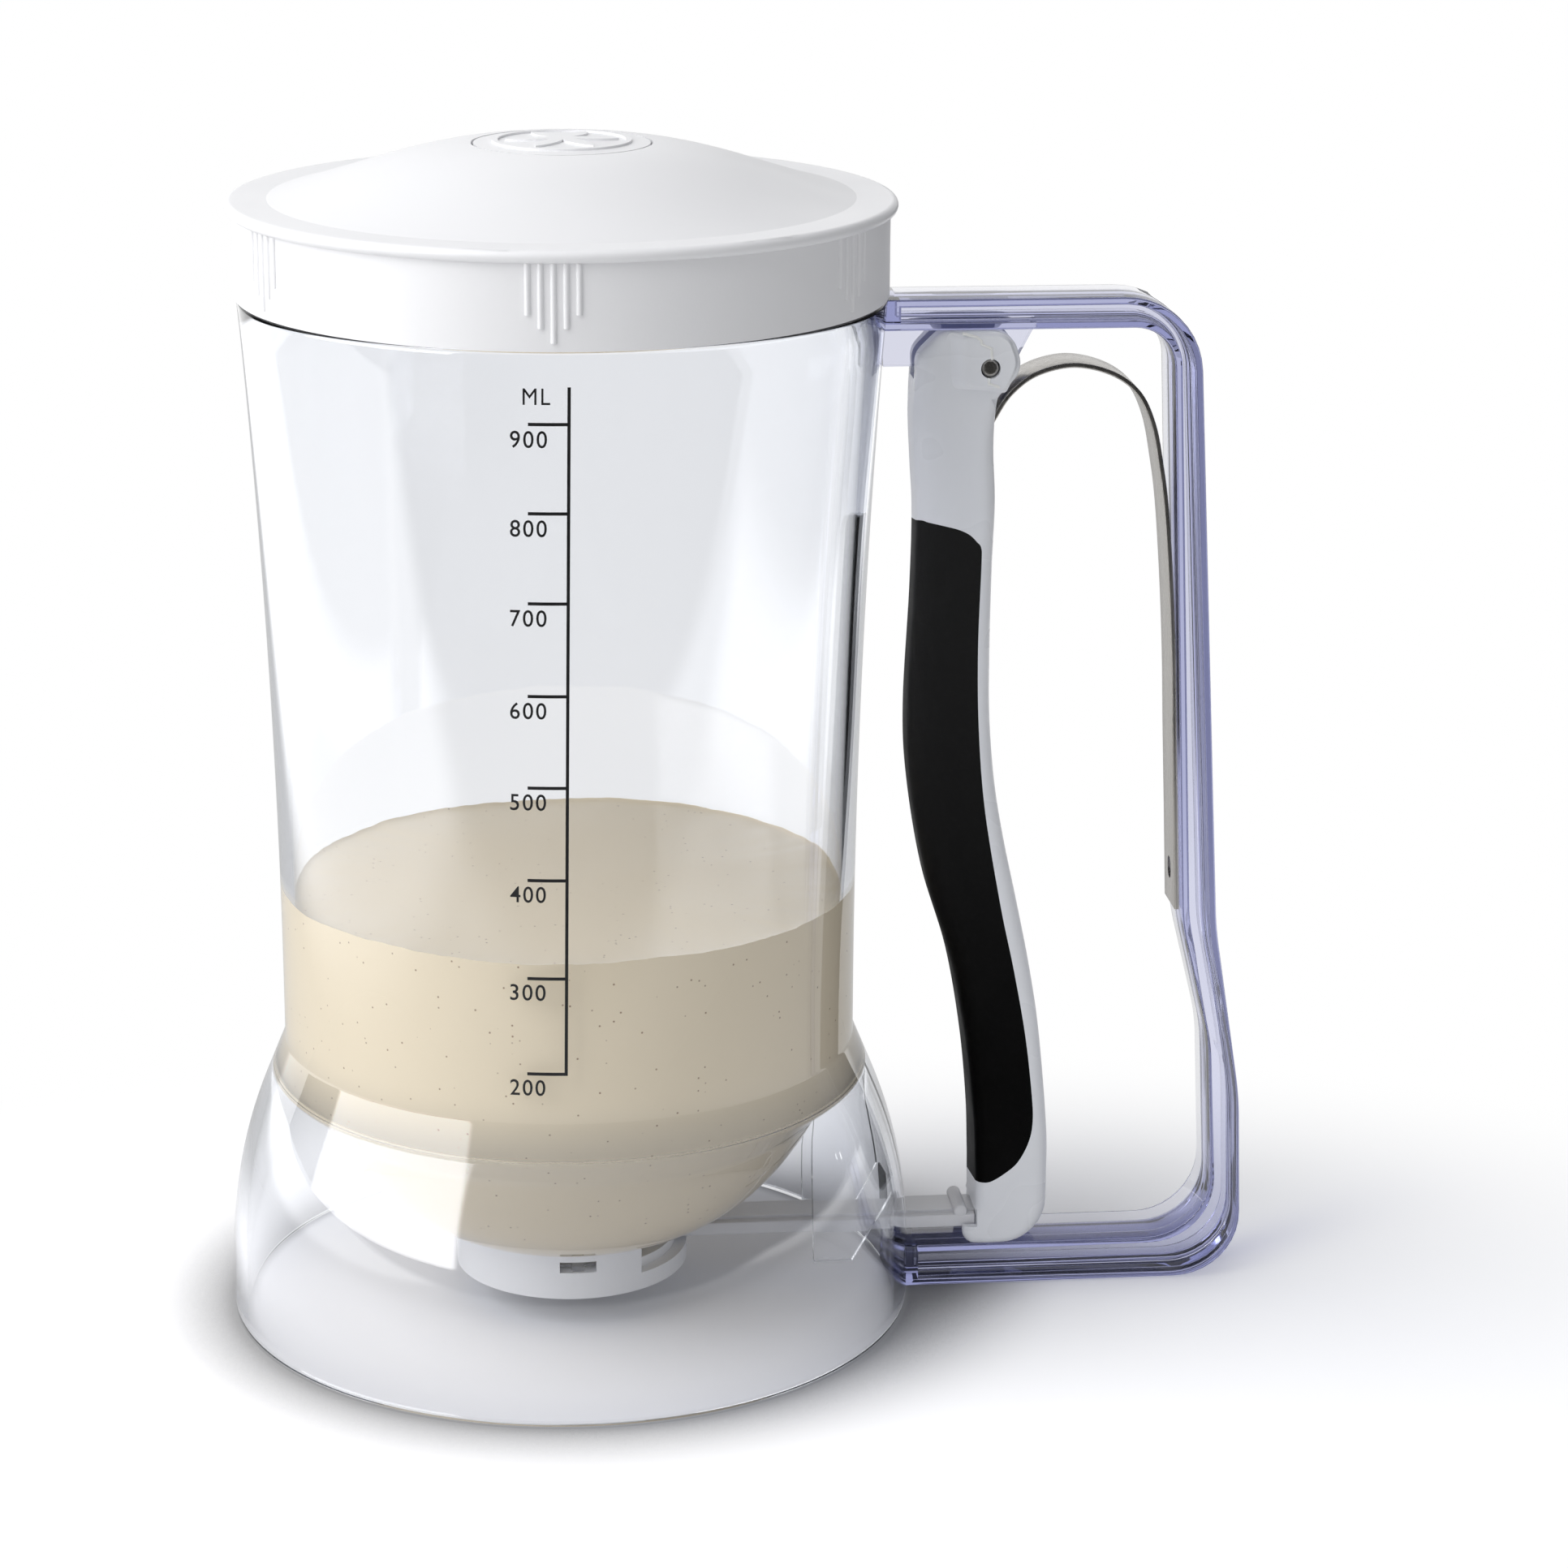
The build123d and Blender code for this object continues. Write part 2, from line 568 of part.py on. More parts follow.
def make_batter():
    """Batter standing in the jug up to BATTER_Z."""
    top_r = BODY_IN_R - BATTER_GAP
    return turned(
        *bowl_inside(BATTER_GAP),
        Line((top_r, BODY_FLARE_Z), (top_r, BATTER_Z)),
        Line((top_r, BATTER_Z), (0, BATTER_Z)),
        Line((0, BATTER_Z), (0, FLOOR_Z)),
        Line((0, FLOOR_Z), (OUTLET_R - BATTER_GAP, FLOOR_Z)),
        Line((OUTLET_R - BATTER_GAP, FLOOR_Z), (OUTLET_R - BATTER_GAP, FLOOR_Z + FLOOR_T + BATTER_GAP)),
    )


# ---------------------------------------------------------------- valve


def make_seal():
    """Soft ring in the groove round the outlet, just clear of the gate."""
    return tube(SEAL_OUT_R, SEAL_IN_R, GATE_TOP_Z + SEAL_GAP, FLOOR_Z + SEAL_DEPTH)


def make_ring():
    """Ring that snaps on under the bowl and carries the gate."""
    top_z = FLOOR_Z - RING_TOP_GAP
    ring = tube(RING_R, RING_IN_R, RING_BOTTOM_Z, top_z)
    ring += tube(RING_R, RING_HOLE_R, RING_FLOOR_Z - RING_FLOOR_T, RING_FLOOR_Z)
    slot_x = sqrt(RING_R**2 - RING_SLOT_HALF**2)
    slot = block(slot_x, RING_R, -RING_SLOT_HALF, RING_SLOT_HALF, RING_SLOT_Z, top_z)
    ring -= slot & tube(RING_R + RING_WALL, RING_IN_R, RING_SLOT_Z, top_z)
    half = LUG_WINDOW_W / 2
    ring -= block(-half, half, -RING_R, RING_R, RING_FLOOR_Z, RING_FLOOR_Z + LUG_WINDOW_H)
    rail_y = GATE_R + ROD_CLEAR
    rail = block(-GATE_R, GATE_R, rail_y, rail_y + RAIL_T, RING_FLOOR_Z - RING_FIT, GATE_TOP_Z - RING_FIT)
    rail &= Pos(0, 0, GATE_Z) * Cylinder(RING_IN_R - SNAP_WALL_T - 2 * RING_FIT, 4 * GATE_T)
    return ring + rail + mirror(rail, Plane.XZ)


def make_gate():
    """Gate disc, flat rod with its cross rib, and the hook that the lever pulls."""
    half = ROD_W / 2
    gate = Pos(0, 0, GATE_Z + GATE_T / 2) * Cylinder(GATE_R, GATE_T)
    gate += block(GATE_R / 2, ROD_END_X, -half, half, GATE_Z, GATE_TOP_Z)
    gate += block(GATE_R, HOOK_X + HOOK_T, -TONGUE_W / 2, TONGUE_W / 2, GATE_Z, GATE_TOP_Z)
    gate += block(HOOK_X, HOOK_X + HOOK_T, -HOOK_W / 2, HOOK_W / 2, GATE_Z, GATE_TOP_Z)
    rib_x = LEVER_TOE_X - ROD_RIB_OUT
    rib = cross_pin(ROD_RIB_R, rib_x, GATE_TOP_Z + ROD_RIB_RISE, -half, half)
    rib_top_z = GATE_TOP_Z + ROD_RIB_RISE + ROD_RIB_R
    rib &= block(rib_x - ROD_RIB_R, rib_x + ROD_RIB_R, -half, half, GATE_Z, rib_top_z)
    return gate + rib


# ---------------------------------------------------------------- lever


def fitting_radii(marks):
    """Each corner's rounding, less where two neighbours wouldn't fit on the run between them."""
    corners = [Vector(x, z) for x, z, _ in marks]
    ahead = [corners[(i + 1) % len(corners)] - corner for i, corner in enumerate(corners)]
    turns = [radians(ahead[i - 1].get_angle(run)) for i, run in enumerate(ahead)]
    cuts = [r * tan(turn / 2) for (_, _, r), turn in zip(marks, turns)]
    fits = []
    for i, run in enumerate(ahead):
        needed = cuts[i] + cuts[(i + 1) % len(cuts)]
        fits.append(min(1.0, ROUNDING_ROOM * run.length / needed))
    return [r * min(fits[i - 1], fits[i]) for i, (_, _, r) in enumerate(marks)]


def lever_outline():
    """Closed outline of the lever as an (x, z) face."""
    front = [(PIN_X + x, PIN_Z + z, r) for x, z, r in LEVER_HEAD_FRONT]
    rear = [(PIN_X + x, PIN_Z + z, r) for x, z, r in LEVER_HEAD_REAR]
    lower = [LEVER_BELLY, LEVER_KNEE, LEVER_TOE, LEVER_HEEL, LEVER_CALF, LEVER_WAIST]
    marks = [*front, *from_shoulder(lower), *rear]
    corners = [(x, z) for x, z, _ in marks]
    return make_face(FilletPolyline(*corners, radius=fitting_radii(marks), close=True))


def rear_zone(outline):
    """The strip of the lever's outline that the rear cover takes."""
    inner = offset(outline, -SEAM_IN)
    mid_x = (LEVER_BELLY_X + LEVER_WAIST_X) / 2
    low_x = (LEVER_TOE_X + LEVER_HEEL_X) / 2
    far_x = LEVER_HEEL_X + SEAM_IN
    top_z = PIN_Z - COVER_TOP_DROP
    right = make_face(
        Polyline(
            (low_x, 0),
            (low_x, COVER_TURN_Z),
            (mid_x, LEVER_BELLY[1]),
            (mid_x + SEAM_IN, top_z),
            (far_x, top_z),
            (far_x, 0),
            close=True,
        )
    )
    return (outline - inner) & right


def grip_zone():
    """Region of the lever that the soft grip covers, as an (x, z) face."""
    left_x = LEVER_BELLY_X - SEAM_IN
    neck_x = LEVER_WAIST_X - GRIP_NECK_IN
    heel_x = LEVER_HEEL_X - SEAM_IN
    far_x = LEVER_HEEL_X + SEAM_IN
    grip_top_z = PIN_Z - GRIP_TOP_DROP
    step_top_z = grip_top_z - 2 * GRIP_TOP_R
    step_low_z = GRIP_BOTTOM_Z + 2 * GRIP_BOTTOM_R
    corners = [
        (left_x, grip_top_z + GRIP_TOP_RISE),
        (neck_x, grip_top_z),
        (neck_x, step_top_z),
        (far_x, step_top_z),
        (far_x, step_low_z),
        (heel_x, step_low_z),
        (heel_x, GRIP_BOTTOM_Z),
        (left_x, GRIP_BOTTOM_Z + GRIP_BOTTOM_RISE),
    ]
    end_r = GRIP_END_R
    radii = [end_r, GRIP_TOP_R, end_r, end_r, end_r, end_r, GRIP_BOTTOM_R, end_r]
    return make_face(FilletPolyline(*corners, radius=radii, close=True))


def lever_solid(outline):
    """The whole lever with rounded edges, before it is parted into its pieces."""
    solid = slab(outline, LEVER_HALF)
    return fillet(solid.faces().filter_by(Axis.Y).edges(), LEVER_EDGE_R)


def lever_cuts():
    """Clevis slot, pin hole, spring slot and the hook slot at the toe."""
    gap = LUG_T / 2 + CLEVIS_GAP
    clevis_z = PIN_Z - CLEVIS_DEPTH
    cuts = block(PIN_X - LUG_LEFT, PIN_X + LUG_RIGHT, -gap, gap, clevis_z, HANDLE_TOP_Z)
    cuts += cross_pin(PIN_R + PIN_RUN, PIN_X, PIN_Z, -LEVER_W, LEVER_W)
    cuts += spring_strip(SPRING_T + 2 * SPRING_SLOT_CLEAR, SPRING_W + 4 * SPRING_SLOT_CLEAR)
    notch_z = GATE_TOP_Z + 2 * ROD_CLEAR
    notch_x = ROD_END_X + ROD_CLEAR
    left_x = LEVER_TOE_X - SEAM_IN
    wall_x = HOOK_X - HOOK_PLAY
    cavity_x = HOOK_X + HOOK_T + HOOK_FREE
    slot_half = TONGUE_W / 2 + ROD_CLEAR
    cavity_half = HOOK_W / 2 + ROD_CLEAR
    cuts += block(left_x, notch_x, -LEVER_W, LEVER_W, 0, notch_z)
    cuts += block(left_x, HOOK_X, -slot_half, slot_half, 0, notch_z)
    cuts += block(wall_x, cavity_x, -cavity_half, cavity_half, 0, notch_z + HOOK_HEADROOM)
    return cuts


def lever_hollow(outline):
    """Closed hollow in the lever's core."""
    face = offset(outline, -SEAM_IN - LEVER_HOLLOW)
    top_z = PIN_Z - LEVER_HOLLOW_DROP
    low_z = LEVER_HOLLOW_BOTTOM_Z
    span = block(LEVER_BELLY_X, LEVER_HEEL_X, -LEVER_HALF, LEVER_HALF, low_z, top_z)
    return slab(face, CORE_HALF - LEVER_HOLLOW) & span


def make_lever():
    """Lever parted into front shell, rear cover and soft grip."""
    outline = lever_outline()
    solid = lever_solid(outline) - lever_cuts()
    rear = slab(rear_zone(outline), LEVER_W)
    core = slab(offset(outline, -GRIP_T), CORE_HALF)
    skin = slab(grip_zone(), LEVER_W) - core - rear
    cover = solid & rear
    grip = solid & skin
    shell = solid - rear - skin - lever_hollow(outline)
    return shell, cover, grip


def make_pin():
    """Pivot pin through the lever's head and the handle's lug."""
    return cross_pin(PIN_R, PIN_X, PIN_Z, -LEVER_HALF + PIN_HEAD_RECESS, LEVER_HALF + PIN_TAIL)


def make_retainer():
    """Push-on washer that holds the pin at the back."""
    y0 = LEVER_HALF + RETAINER_GAP
    washer = cross_pin(RETAINER_R, PIN_X, PIN_Z, y0, y0 + RETAINER_T)
    return washer - cross_pin(PIN_R, PIN_X, PIN_Z, y0, y0 + RETAINER_T)


# ---------------------------------------------------------------- leaf spring


def spring_path():
    """Middle line of the spring: out of the lever, over the arch, down the handle's inner face."""
    inset = SPRING_T / 2 + SPRING_SEAT_GAP
    start = [(PIN_X + x, PIN_Z + z) for x, z in [*SPRING_TAIL, *SPRING_ARCH]]
    fall = [(handle_inner_x(PIN_Z + z) - out, PIN_Z + z) for out, z in SPRING_FALL]
    laid = [(handle_inner_x(z) - inset, z) for z in [*SPRING_LAID_Z, SPRING_END_Z]]
    return Spline(*start, *fall, *laid)


def spring_strip(thickness, width):
    """The spring's path made into a strip."""
    return slab(trace(spring_path(), thickness), width / 2)


def make_spring():
    """Bent steel strip with a slot near its lower end."""
    strip = spring_strip(SPRING_T, SPRING_W)
    slot_z = SPRING_END_Z + SPRING_SLOT_H
    x = handle_inner_x(slot_z)
    half = SPRING_SLOT_W / 2
    return strip - block(x - 4 * SPRING_T, x + SPRING_T, -half, half, slot_z, slot_z + SPRING_SLOT_H)


# ---------------------------------------------------------------- lid


def dome_points(drop):
    """Points of the lid's dome up to the badge recess, lowered by drop."""
    crown = (BADGE_R + BADGE_GAP, LID_CROWN)
    return [(r, LID_TOP_Z + rise - drop) for r, rise in [*LID_DOME, crown]]


def make_lid():
    """Lid with its band, lip, dome, badge recess and groups of grip ribs."""
    lip_z = LID_TOP_Z - LID_LIP_T
    lip_mid = (LID_LIP_R, lip_z + LID_LIP_T / 2)
    lip_start_r = LID_LIP_R - LID_LIP_T / 2
    band_in_r = NECK_R + LID_FIT
    outer = dome_points(0)
    inner = dome_points(LID_T)
    recess_r = BADGE_R + BADGE_GAP
    recess_z = BADGE_SEAT_Z
    under_z = recess_z - LID_T
    lid = turned(
        Line((band_in_r, LID_BAND_Z), (LID_BAND_R, LID_BAND_Z)),
        Line((LID_BAND_R, LID_BAND_Z), (LID_BAND_R, lip_z)),
        Line((LID_BAND_R, lip_z), (lip_start_r, lip_z)),
        ThreePointArc((lip_start_r, lip_z), lip_mid, (lip_start_r, LID_TOP_Z)),
        Line((lip_start_r, LID_TOP_Z), (LID_SHELF_R, LID_TOP_Z)),
        Spline((LID_SHELF_R, LID_TOP_Z), *outer),
        Line(outer[-1], (recess_r, recess_z)),
        Line((recess_r, recess_z), (0, recess_z)),
        Line((0, recess_z), (0, under_z)),
        Line((0, under_z), (recess_r + LID_T, under_z)),
        Spline((recess_r + LID_T, under_z), *reversed(inner[:-1]), (LID_SHELF_R, LID_UNDER_Z)),
        Line((LID_SHELF_R, LID_UNDER_Z), (band_in_r, LID_UNDER_Z)),
        Line((band_in_r, LID_UNDER_Z), (band_in_r, LID_BAND_Z)),
    )
    rib_r = LID_BAND_R - RIB_SUNK
    middle = (len(RIB_LIFTS) - 1) / 2
    for group in range(RIB_GROUPS):
        for index, lift in enumerate(RIB_LIFTS):
            bottom = LID_BAND_Z + lift
            angle = RIB_START + group * 360 / RIB_GROUPS + (index - middle) * RIB_PITCH
            height = lip_z - bottom
            lid += Rot(0, 0, angle) * Pos(0, -rib_r, bottom + height / 2) * Cylinder(RIB_R, height)
    return lid


def make_badge():
    """Disc set into the lid's top, with a raised ring and a six-petal rosette."""
    low_z = BADGE_SEAT_Z
    top_z = low_z + BADGE_T
    crown_z = top_z + BADGE_CROWN
    badge = turned(
        Line((0, low_z), (BADGE_R, low_z)),
        Line((BADGE_R, low_z), (BADGE_R, top_z)),
        TangentArc((0, crown_z), (BADGE_R, top_z), tangent=(1, 0)),
        Line((0, crown_z), (0, low_z)),
    )
    aside = sqrt(PETAL_R**2 - (PETAL_R / 2 + PETAL_JOIN) ** 2)
    petal = Pos(PETAL_R / 2, 0) * (Pos(0, aside) * Circle(PETAL_R) & Pos(0, -aside) * Circle(PETAL_R))
    cap = turned(
        Line((0, low_z), (BADGE_R, low_z)),
        Line((BADGE_R, low_z), (BADGE_R, top_z + BADGE_EMBOSS)),
        TangentArc((0, crown_z + BADGE_EMBOSS), (BADGE_R, top_z + BADGE_EMBOSS), tangent=(1, 0)),
        Line((0, crown_z + BADGE_EMBOSS), (0, low_z)),
    )
    tall = BADGE_CROWN + BADGE_EMBOSS + BADGE_T
    stems = tube(BADGE_RING_R + BADGE_RING_W / 2, BADGE_RING_R - BADGE_RING_W / 2, low_z, low_z + tall)
    for index in range(PETALS):
        stems += Pos(0, 0, low_z) * Rot(0, 0, index * 360 / PETALS) * extrude(petal, tall)
    return badge + (stems & cap)


def main():
    """Build every node and write its STEP file."""
    os.makedirs("parts", exist_ok=True)
    shell, cover, grip = make_lever()
    save("jug_body", make_jug())
    save("base_skirt", make_skirt())
    save("handle_frame", make_handle())
    save("scale_marks", make_scale())
    save("batter_fill", make_batter())
    save("outlet_seal", make_seal())
    save("valve_ring", make_ring())
    save("gate_slide", make_gate())
    save("lever_shell", shell)
    save("lever_cover", cover)
    save("lever_grip", grip)
    save("pivot_pin", make_pin())
    save("pin_retainer", make_retainer())
    save("leaf_spring", make_spring())
    save("lid_shell", make_lid())
    save("lid_badge", make_badge())


main()
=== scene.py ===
"""Pancake batter dispenser: clear jug on its skirt, handle, squeeze lever, sliding gate and lid."""

import math

import bmesh
import bpy
from mathutils import Matrix, Vector, noise


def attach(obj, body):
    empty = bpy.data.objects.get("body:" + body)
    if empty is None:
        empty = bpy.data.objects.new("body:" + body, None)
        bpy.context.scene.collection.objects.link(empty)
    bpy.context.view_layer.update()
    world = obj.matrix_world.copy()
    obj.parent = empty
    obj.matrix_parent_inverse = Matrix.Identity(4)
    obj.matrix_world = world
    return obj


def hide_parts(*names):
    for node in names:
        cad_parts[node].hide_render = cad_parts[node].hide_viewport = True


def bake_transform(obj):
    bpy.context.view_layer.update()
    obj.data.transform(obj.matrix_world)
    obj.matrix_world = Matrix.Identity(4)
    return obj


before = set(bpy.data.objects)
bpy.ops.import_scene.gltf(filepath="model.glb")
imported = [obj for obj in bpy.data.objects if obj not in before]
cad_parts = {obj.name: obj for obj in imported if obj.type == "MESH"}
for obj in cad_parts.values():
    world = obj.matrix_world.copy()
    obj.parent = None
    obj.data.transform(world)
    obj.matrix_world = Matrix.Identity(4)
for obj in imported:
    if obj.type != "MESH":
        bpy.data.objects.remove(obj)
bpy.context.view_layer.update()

MM = 0.001

# ------------------------------------------------------------------ sizes, in millimetres

# Jug wall
BODY_R, BODY_TOP_R = 47.4, 51.75
FLARE_Z, SHOULDER_Z = 57.0, 171.2
BODY_WALL, BODY_TOP_WALL = 2.2, 2.9
NECK_R, NECK_TOP_Z = 50.2, 184.1
MOUTH_R = BODY_TOP_R - BODY_TOP_WALL
BODY_IN_R = BODY_R - BODY_WALL

# Bowl and skirt
BOWL_ARC_R, BOWL_CENTRE = 34.6, (8.5, 46.2)
BOWL_FOOT_R, BOWL_WAIST_R, BELLY_R = 19.5, 41.0, 39.5
FLOOR_EDGE_R = BOWL_FOOT_R - 1.5
BOWL_WALL, FLOOR_T, OUTLET_R, KNEE_R = 2.0, 1.9, 8.5, 22.0
SEAL_R, SEAL_DEPTH = (9.3, 11.0), 1.0
BASE_R, SKIRT_TOP_Z, SKIRT_FOOT_Z = 57.0, 47.3, 8.45
SKIRT_SLOPE, SKIRT_ARC_R, SKIRT_WALL = math.radians(22.5), 78.8, 2.0
APEX_Z = SKIRT_TOP_Z - SKIRT_WALL / math.sin(SKIRT_SLOPE)
LIP = 0.6

# Handle, as corners of its outer and inner edge (x, z, rounding), and the closed ends of its
# channel (x0, x1, z0, z1)
HANDLE_HALF, HANDLE_FLANGE, HANDLE_WEB_HALF = 6.25, 1.25, 2.1
ROOT_TOP_X, ROOT_LOW_X = 50.2, 55.8
HANDLE_OUTER = [
    (102.1, 170.1, 13.0),
    (108.35, 63.0, 60.0),
    (113.3, 32.7, 60.0),
    (114.6, 0.1, 11.0),
]
HANDLE_INNER = [
    (97.9, 165.1, 6.6),
    (102.5, 64.0, 35.0),
    (107.6, 43.5, 35.0),
    (109.4, 7.5, 11.0),
]
COLLARS = [(ROOT_TOP_X, 53.5, 165.3, 169.9), (ROOT_LOW_X, 58.7, 0.3, 7.3)]
LUG_OUTLINE = [(50.9, 167.0), (51.3, 158.5), (64.5, 158.5), (72.9, 159.2), (77.0, 167.0)]
LUG_HALF, LUG_BOSS_R = 1.6, 4.2

# Snap walls under the bowl, with the lugs that hold the valve ring
SNAP_R, SNAP_Z, SNAP_HALF = (15.9, 17.3), (10.6, 14.0), 5.0
SNAP_LUG_HALF, SNAP_LUG_R, SNAP_LUG_TOP_Z = 1, (16.5, 19.3), 12.1

# Lever, as (x, z) points down its front and up its rear, and (x, z, rounding) corners of its ends
LEVER_HALF, OUTLINE_GAP = 6.6, 0.6
LEVER_FRONT = [
    (56.3, 158.0), (55.9, 151.0), (56.3, 142.5), (56.8, 134.0), (56.6, 120.8),
    (55.8, 101.4), (56.5, 88.7), (59.2, 73.0), (63.6, 58.4), (66.4, 43.7),
    (67.9, 30.4), (68.4, 20.0),
]
LEVER_REAR = [
    (80.7, 19.0), (80.5, 28.0), (78.8, 45.1), (76.9, 56.8), (74.5, 68.3),
    (72.0, 79.7), (70.3, 89.6), (69.3, 100.8), (69.1, 112.0), (69.2, 125.5),
    (69.5, 136.4), (69.1, 144.4), (69.1, 149.5),
]
LEVER_TOE = [(68.5, 13.6, 1.5), (66.3, 10.8, 2.4), (66.3, 7.4, 2.2), (80.7, 7.4, 7.5)]
LEVER_HEAD = [
    (69.4, 153.9, 2.0),
    (73.4, 158.6, 4.0),
    (71.6, 164.9, 4.2),
    (60.2, 164.9, 3.5),
    (56.2, 160.9, 3.5),
]

# Reach of its rounded edge: at the toe, what is added up to mid height, what the head takes off
EDGE_FRONT, EDGE_REAR, EDGE_END = (1.9, 4.4, 3.3), (2.6, 0.0, 1.7), (1.1, 0.0, 0.3)
EDGE_GROWS_Z, EDGE_HEAD_Z = (15, 85), (148, 158)
EDGE_BACK_SHARE, EDGE_BACK_MOST, FACE_INSET = 0.85, 4.2, 1.12

# Raised field on its head, as (x, z, rounding) corners of its foot and of its face, and the
# parting lines that cross it
BOSS_FOOT = [
    (60.8, 164.8, 0.8),
    (61.4, 155.6, 1.2),
    (70.6, 154.9, 0.8),
    (72.9, 159.6, 4.0),
    (70.9, 164.8, 3.0),
]
BOSS_FACE = [
    (64.2, 164.3, 0.8),
    (64.0, 156.5, 1.2),
    (70.2, 156.0, 0.8),
    (72.1, 159.9, 3.6),
    (70.4, 164.3, 2.6),
]
BOSS_ROOT_Y, BOSS_LOW_Y, BOSS_RISE = -4.0, -LEVER_HALF + 0.1, 1.3
BOSS_MIDDLE, BOSS_FLAT = (68, 160.2), 0.93
PARTING_TOP = [
    (63.2, 164.9), (65.5, 164.3), (66.3, 163.6), (66.3, 163.1), (67.9, 162.4),
    (68.1, 160.6),
]
PARTING_LOW = [(67.7, 157.6), (67.6, 156.7), (69.4, 156.1)]
PARTING_W, PARTING_T = 0.5, 0.22

# Rear cover, and the front edge of the black grip
COVER_IN, COVER_OUT, COVER_LOW_Z, COVER_TOP_Z = 1.4, 3.0, 20.0, 148.0
GRIP_EDGE = [
    (53.0, 133.0), (57.0, 134.0), (58.6, 133.7), (60.8, 133.2), (63.4, 132.5),
    (65.2, 131.6), (66.4, 130.4), (67.1, 129.4), (67.2, 126.5), (66.9, 112.4),
    (67.3, 98.6), (68.6, 84.7), (71.5, 68.3), (74.0, 56.8), (76.2, 45.1),
    (77.6, 34.0), (77.8, 29.0), (77.1, 25.5), (75.4, 22.2), (73.3, 20.3),
    (71.0, 18.9), (69.4, 18.7), (68.3, 18.9), (67.4, 19.2), (62.0, 20.5),
]
GRIP_FRONT, GRIP_FALL = [(40, 23), (40, 138)], 0.15

# Hollows of the lever: clevis, notch and slot for the rod and its hook, and a nick at the neck
FRONT_X = 50
CLEVIS = [(FRONT_X, 156.6), (62, 156.6), (65, 153.4), (80, 153.4), (80, 180), (FRONT_X, 180)]
CLEVIS_HALF = 2.3
NOTCH_X, NOTCH_TOP_Z, NOTCH_LOW_Z, NOTCH_LIP_Z = 68.7, 13.5, 10.6, 8.4
HOOK_SLOT, TONGUE_ROOM = (71.0, 75.2, 5.2, 14.5), 3.4
NICK, NICK_Y = [(68.3, 153.9), (69.2, 152.0), (69.9, 153.9)], -5.6

# Pivot pin
PIN_X, PIN_Z, PIN_R, PIN_PLAY = 67.9, 159.1, 1.5, 0.1
PIN_SHAFT_R, PIN_ENDS = PIN_R - 0.13, (-LEVER_HALF - 0.75, LEVER_HALF + 0.9)

# Gate with its rod, cross rib and hook
GATE_R, GATE_Z = 11.5, (10.5, 12.7)
ROD_HALF, ROD_Z, ROD_END_X, ROD_EDGE, ROD_PLAY = 4.65, (10.05, 12.25), 68.5, 0.25, 0.4
RIB_X, RIB_Z, RIB_R = 66.1, 12.75, 1.15
HOOK = (71.6, 73.6, 4.8)
TONGUE_HALF = 3.0

# Leaf spring, as (x, z) points of its middle line from the lever over to its end
SPRING_LINE = [
    (66.2, 137.0), (66.5, 142.5), (67.7, 147.2), (69.4, 150.8), (71.9, 154.5),
    (76.0, 157.5), (82.0, 158.8), (88.2, 157.4), (92.7, 154.1), (95.3, 148.8),
    (96.8, 141.8), (97.9, 134.5), (99.0, 122.5), (99.9, 109.0), (100.5, 95.0),
    (101.2, 80.0), (101.8, 66.0),
]
SPRING_HALF, SPRING_T, SPRING_EDGE = 4.5, 0.8, 0.22
SPRING_SLOT, SLOT_X = (70.2, 74.0, 1.3), (96.0, 106.0)

# Rod window and its guide cheeks
WINDOW = (40.6, 60.0, -6.6, 6.6, 8.2, 19.0)
WINDOW_CORNER = 2.5
CHEEK_X, CHEEK_LOW_Z, CHEEK_FLAT, CHEEK_SLANT = 40.6, 6.0, 6.5, math.radians(57)
CHEEK_Y, CHEEK_MIDDLE_Y = (6.6, 8.1), 7.35
CHEEK_SUNK, CHEEK_RISE = 0.8, 1.2

# Batter, with its waves as (rate, height), its rim as (distance from the wall, height), its colour
# and its specks
BATTER_Z, BATTER_WET = 73.7, 0.12
BATTER_SIDE_Z = (FLARE_Z, 64.0, 69.0)
BATTER_WAVES = [(2.2, 0.5), (7.3, 0.22), (24.1, 0.16)]
BATTER_RIM = [(0.0, 0.0), (0.15, -0.12), (0.5, -0.32), (1.2, -0.45), (3.0, -0.5)]
BATTER_TOP_R = [38.0, 32.0, 26.0, 20.0, 14.0, 8.0, 3.0]
BATTER_SWELL, SWELL_RATE = 0.25, 0.06
CREAM, SPECK_BROWN = (0.87, 0.75, 0.545), (0.30, 0.17, 0.08)
SPECK_RATE, SPECK_EDGE, SPECK_CHANCE = 900.0, (0.06, 0.2), 0.86

# Printed scale
SCALE_AZIMUTH = math.radians(-3.0)
SCALE_TICKS = {
    200: 56.0, 300: 71.8, 400: 87.9, 500: 102.9,
    600: 117.6, 700: 132.3, 800: 146.4, 900: 160.2,
}
SCALE_TOP_Z, SCALE_LINE_W, SCALE_TICK_L = 165.9, 0.5, 6.1
SCALE_LEAN, SCALE_MIDDLE_Z = 0.0127, 107.0
NUMBER_X, NUMBER_Z, NUMBER_BOLD = (-8.8, -3.25), (-3.65, -1.0), 0.004
UNIT_BOX = (-6.9, -2.8, 163.2, 165.7)
INK_LIFT, INK_T = 0.01, 0.08

# Segments of a turn
SEGMENTS, JUG_SEGMENTS, DISC_SEGMENTS = 240, 480, 96

# Studio levels, where 1 is white
FILL_LEVEL, ROOM_LEVEL, SWEEP_LEVEL = 0.44, 0.05, 0.95
SWEEP_EDGE = (0.74, 0.9)
SOFTBOX_AZIMUTH, SOFTBOX_LEVEL = 197.0, 5.5
SOFTBOX_SIDE, SOFTBOX_TOP = (0.56, 0.62), (0.85, 0.95)

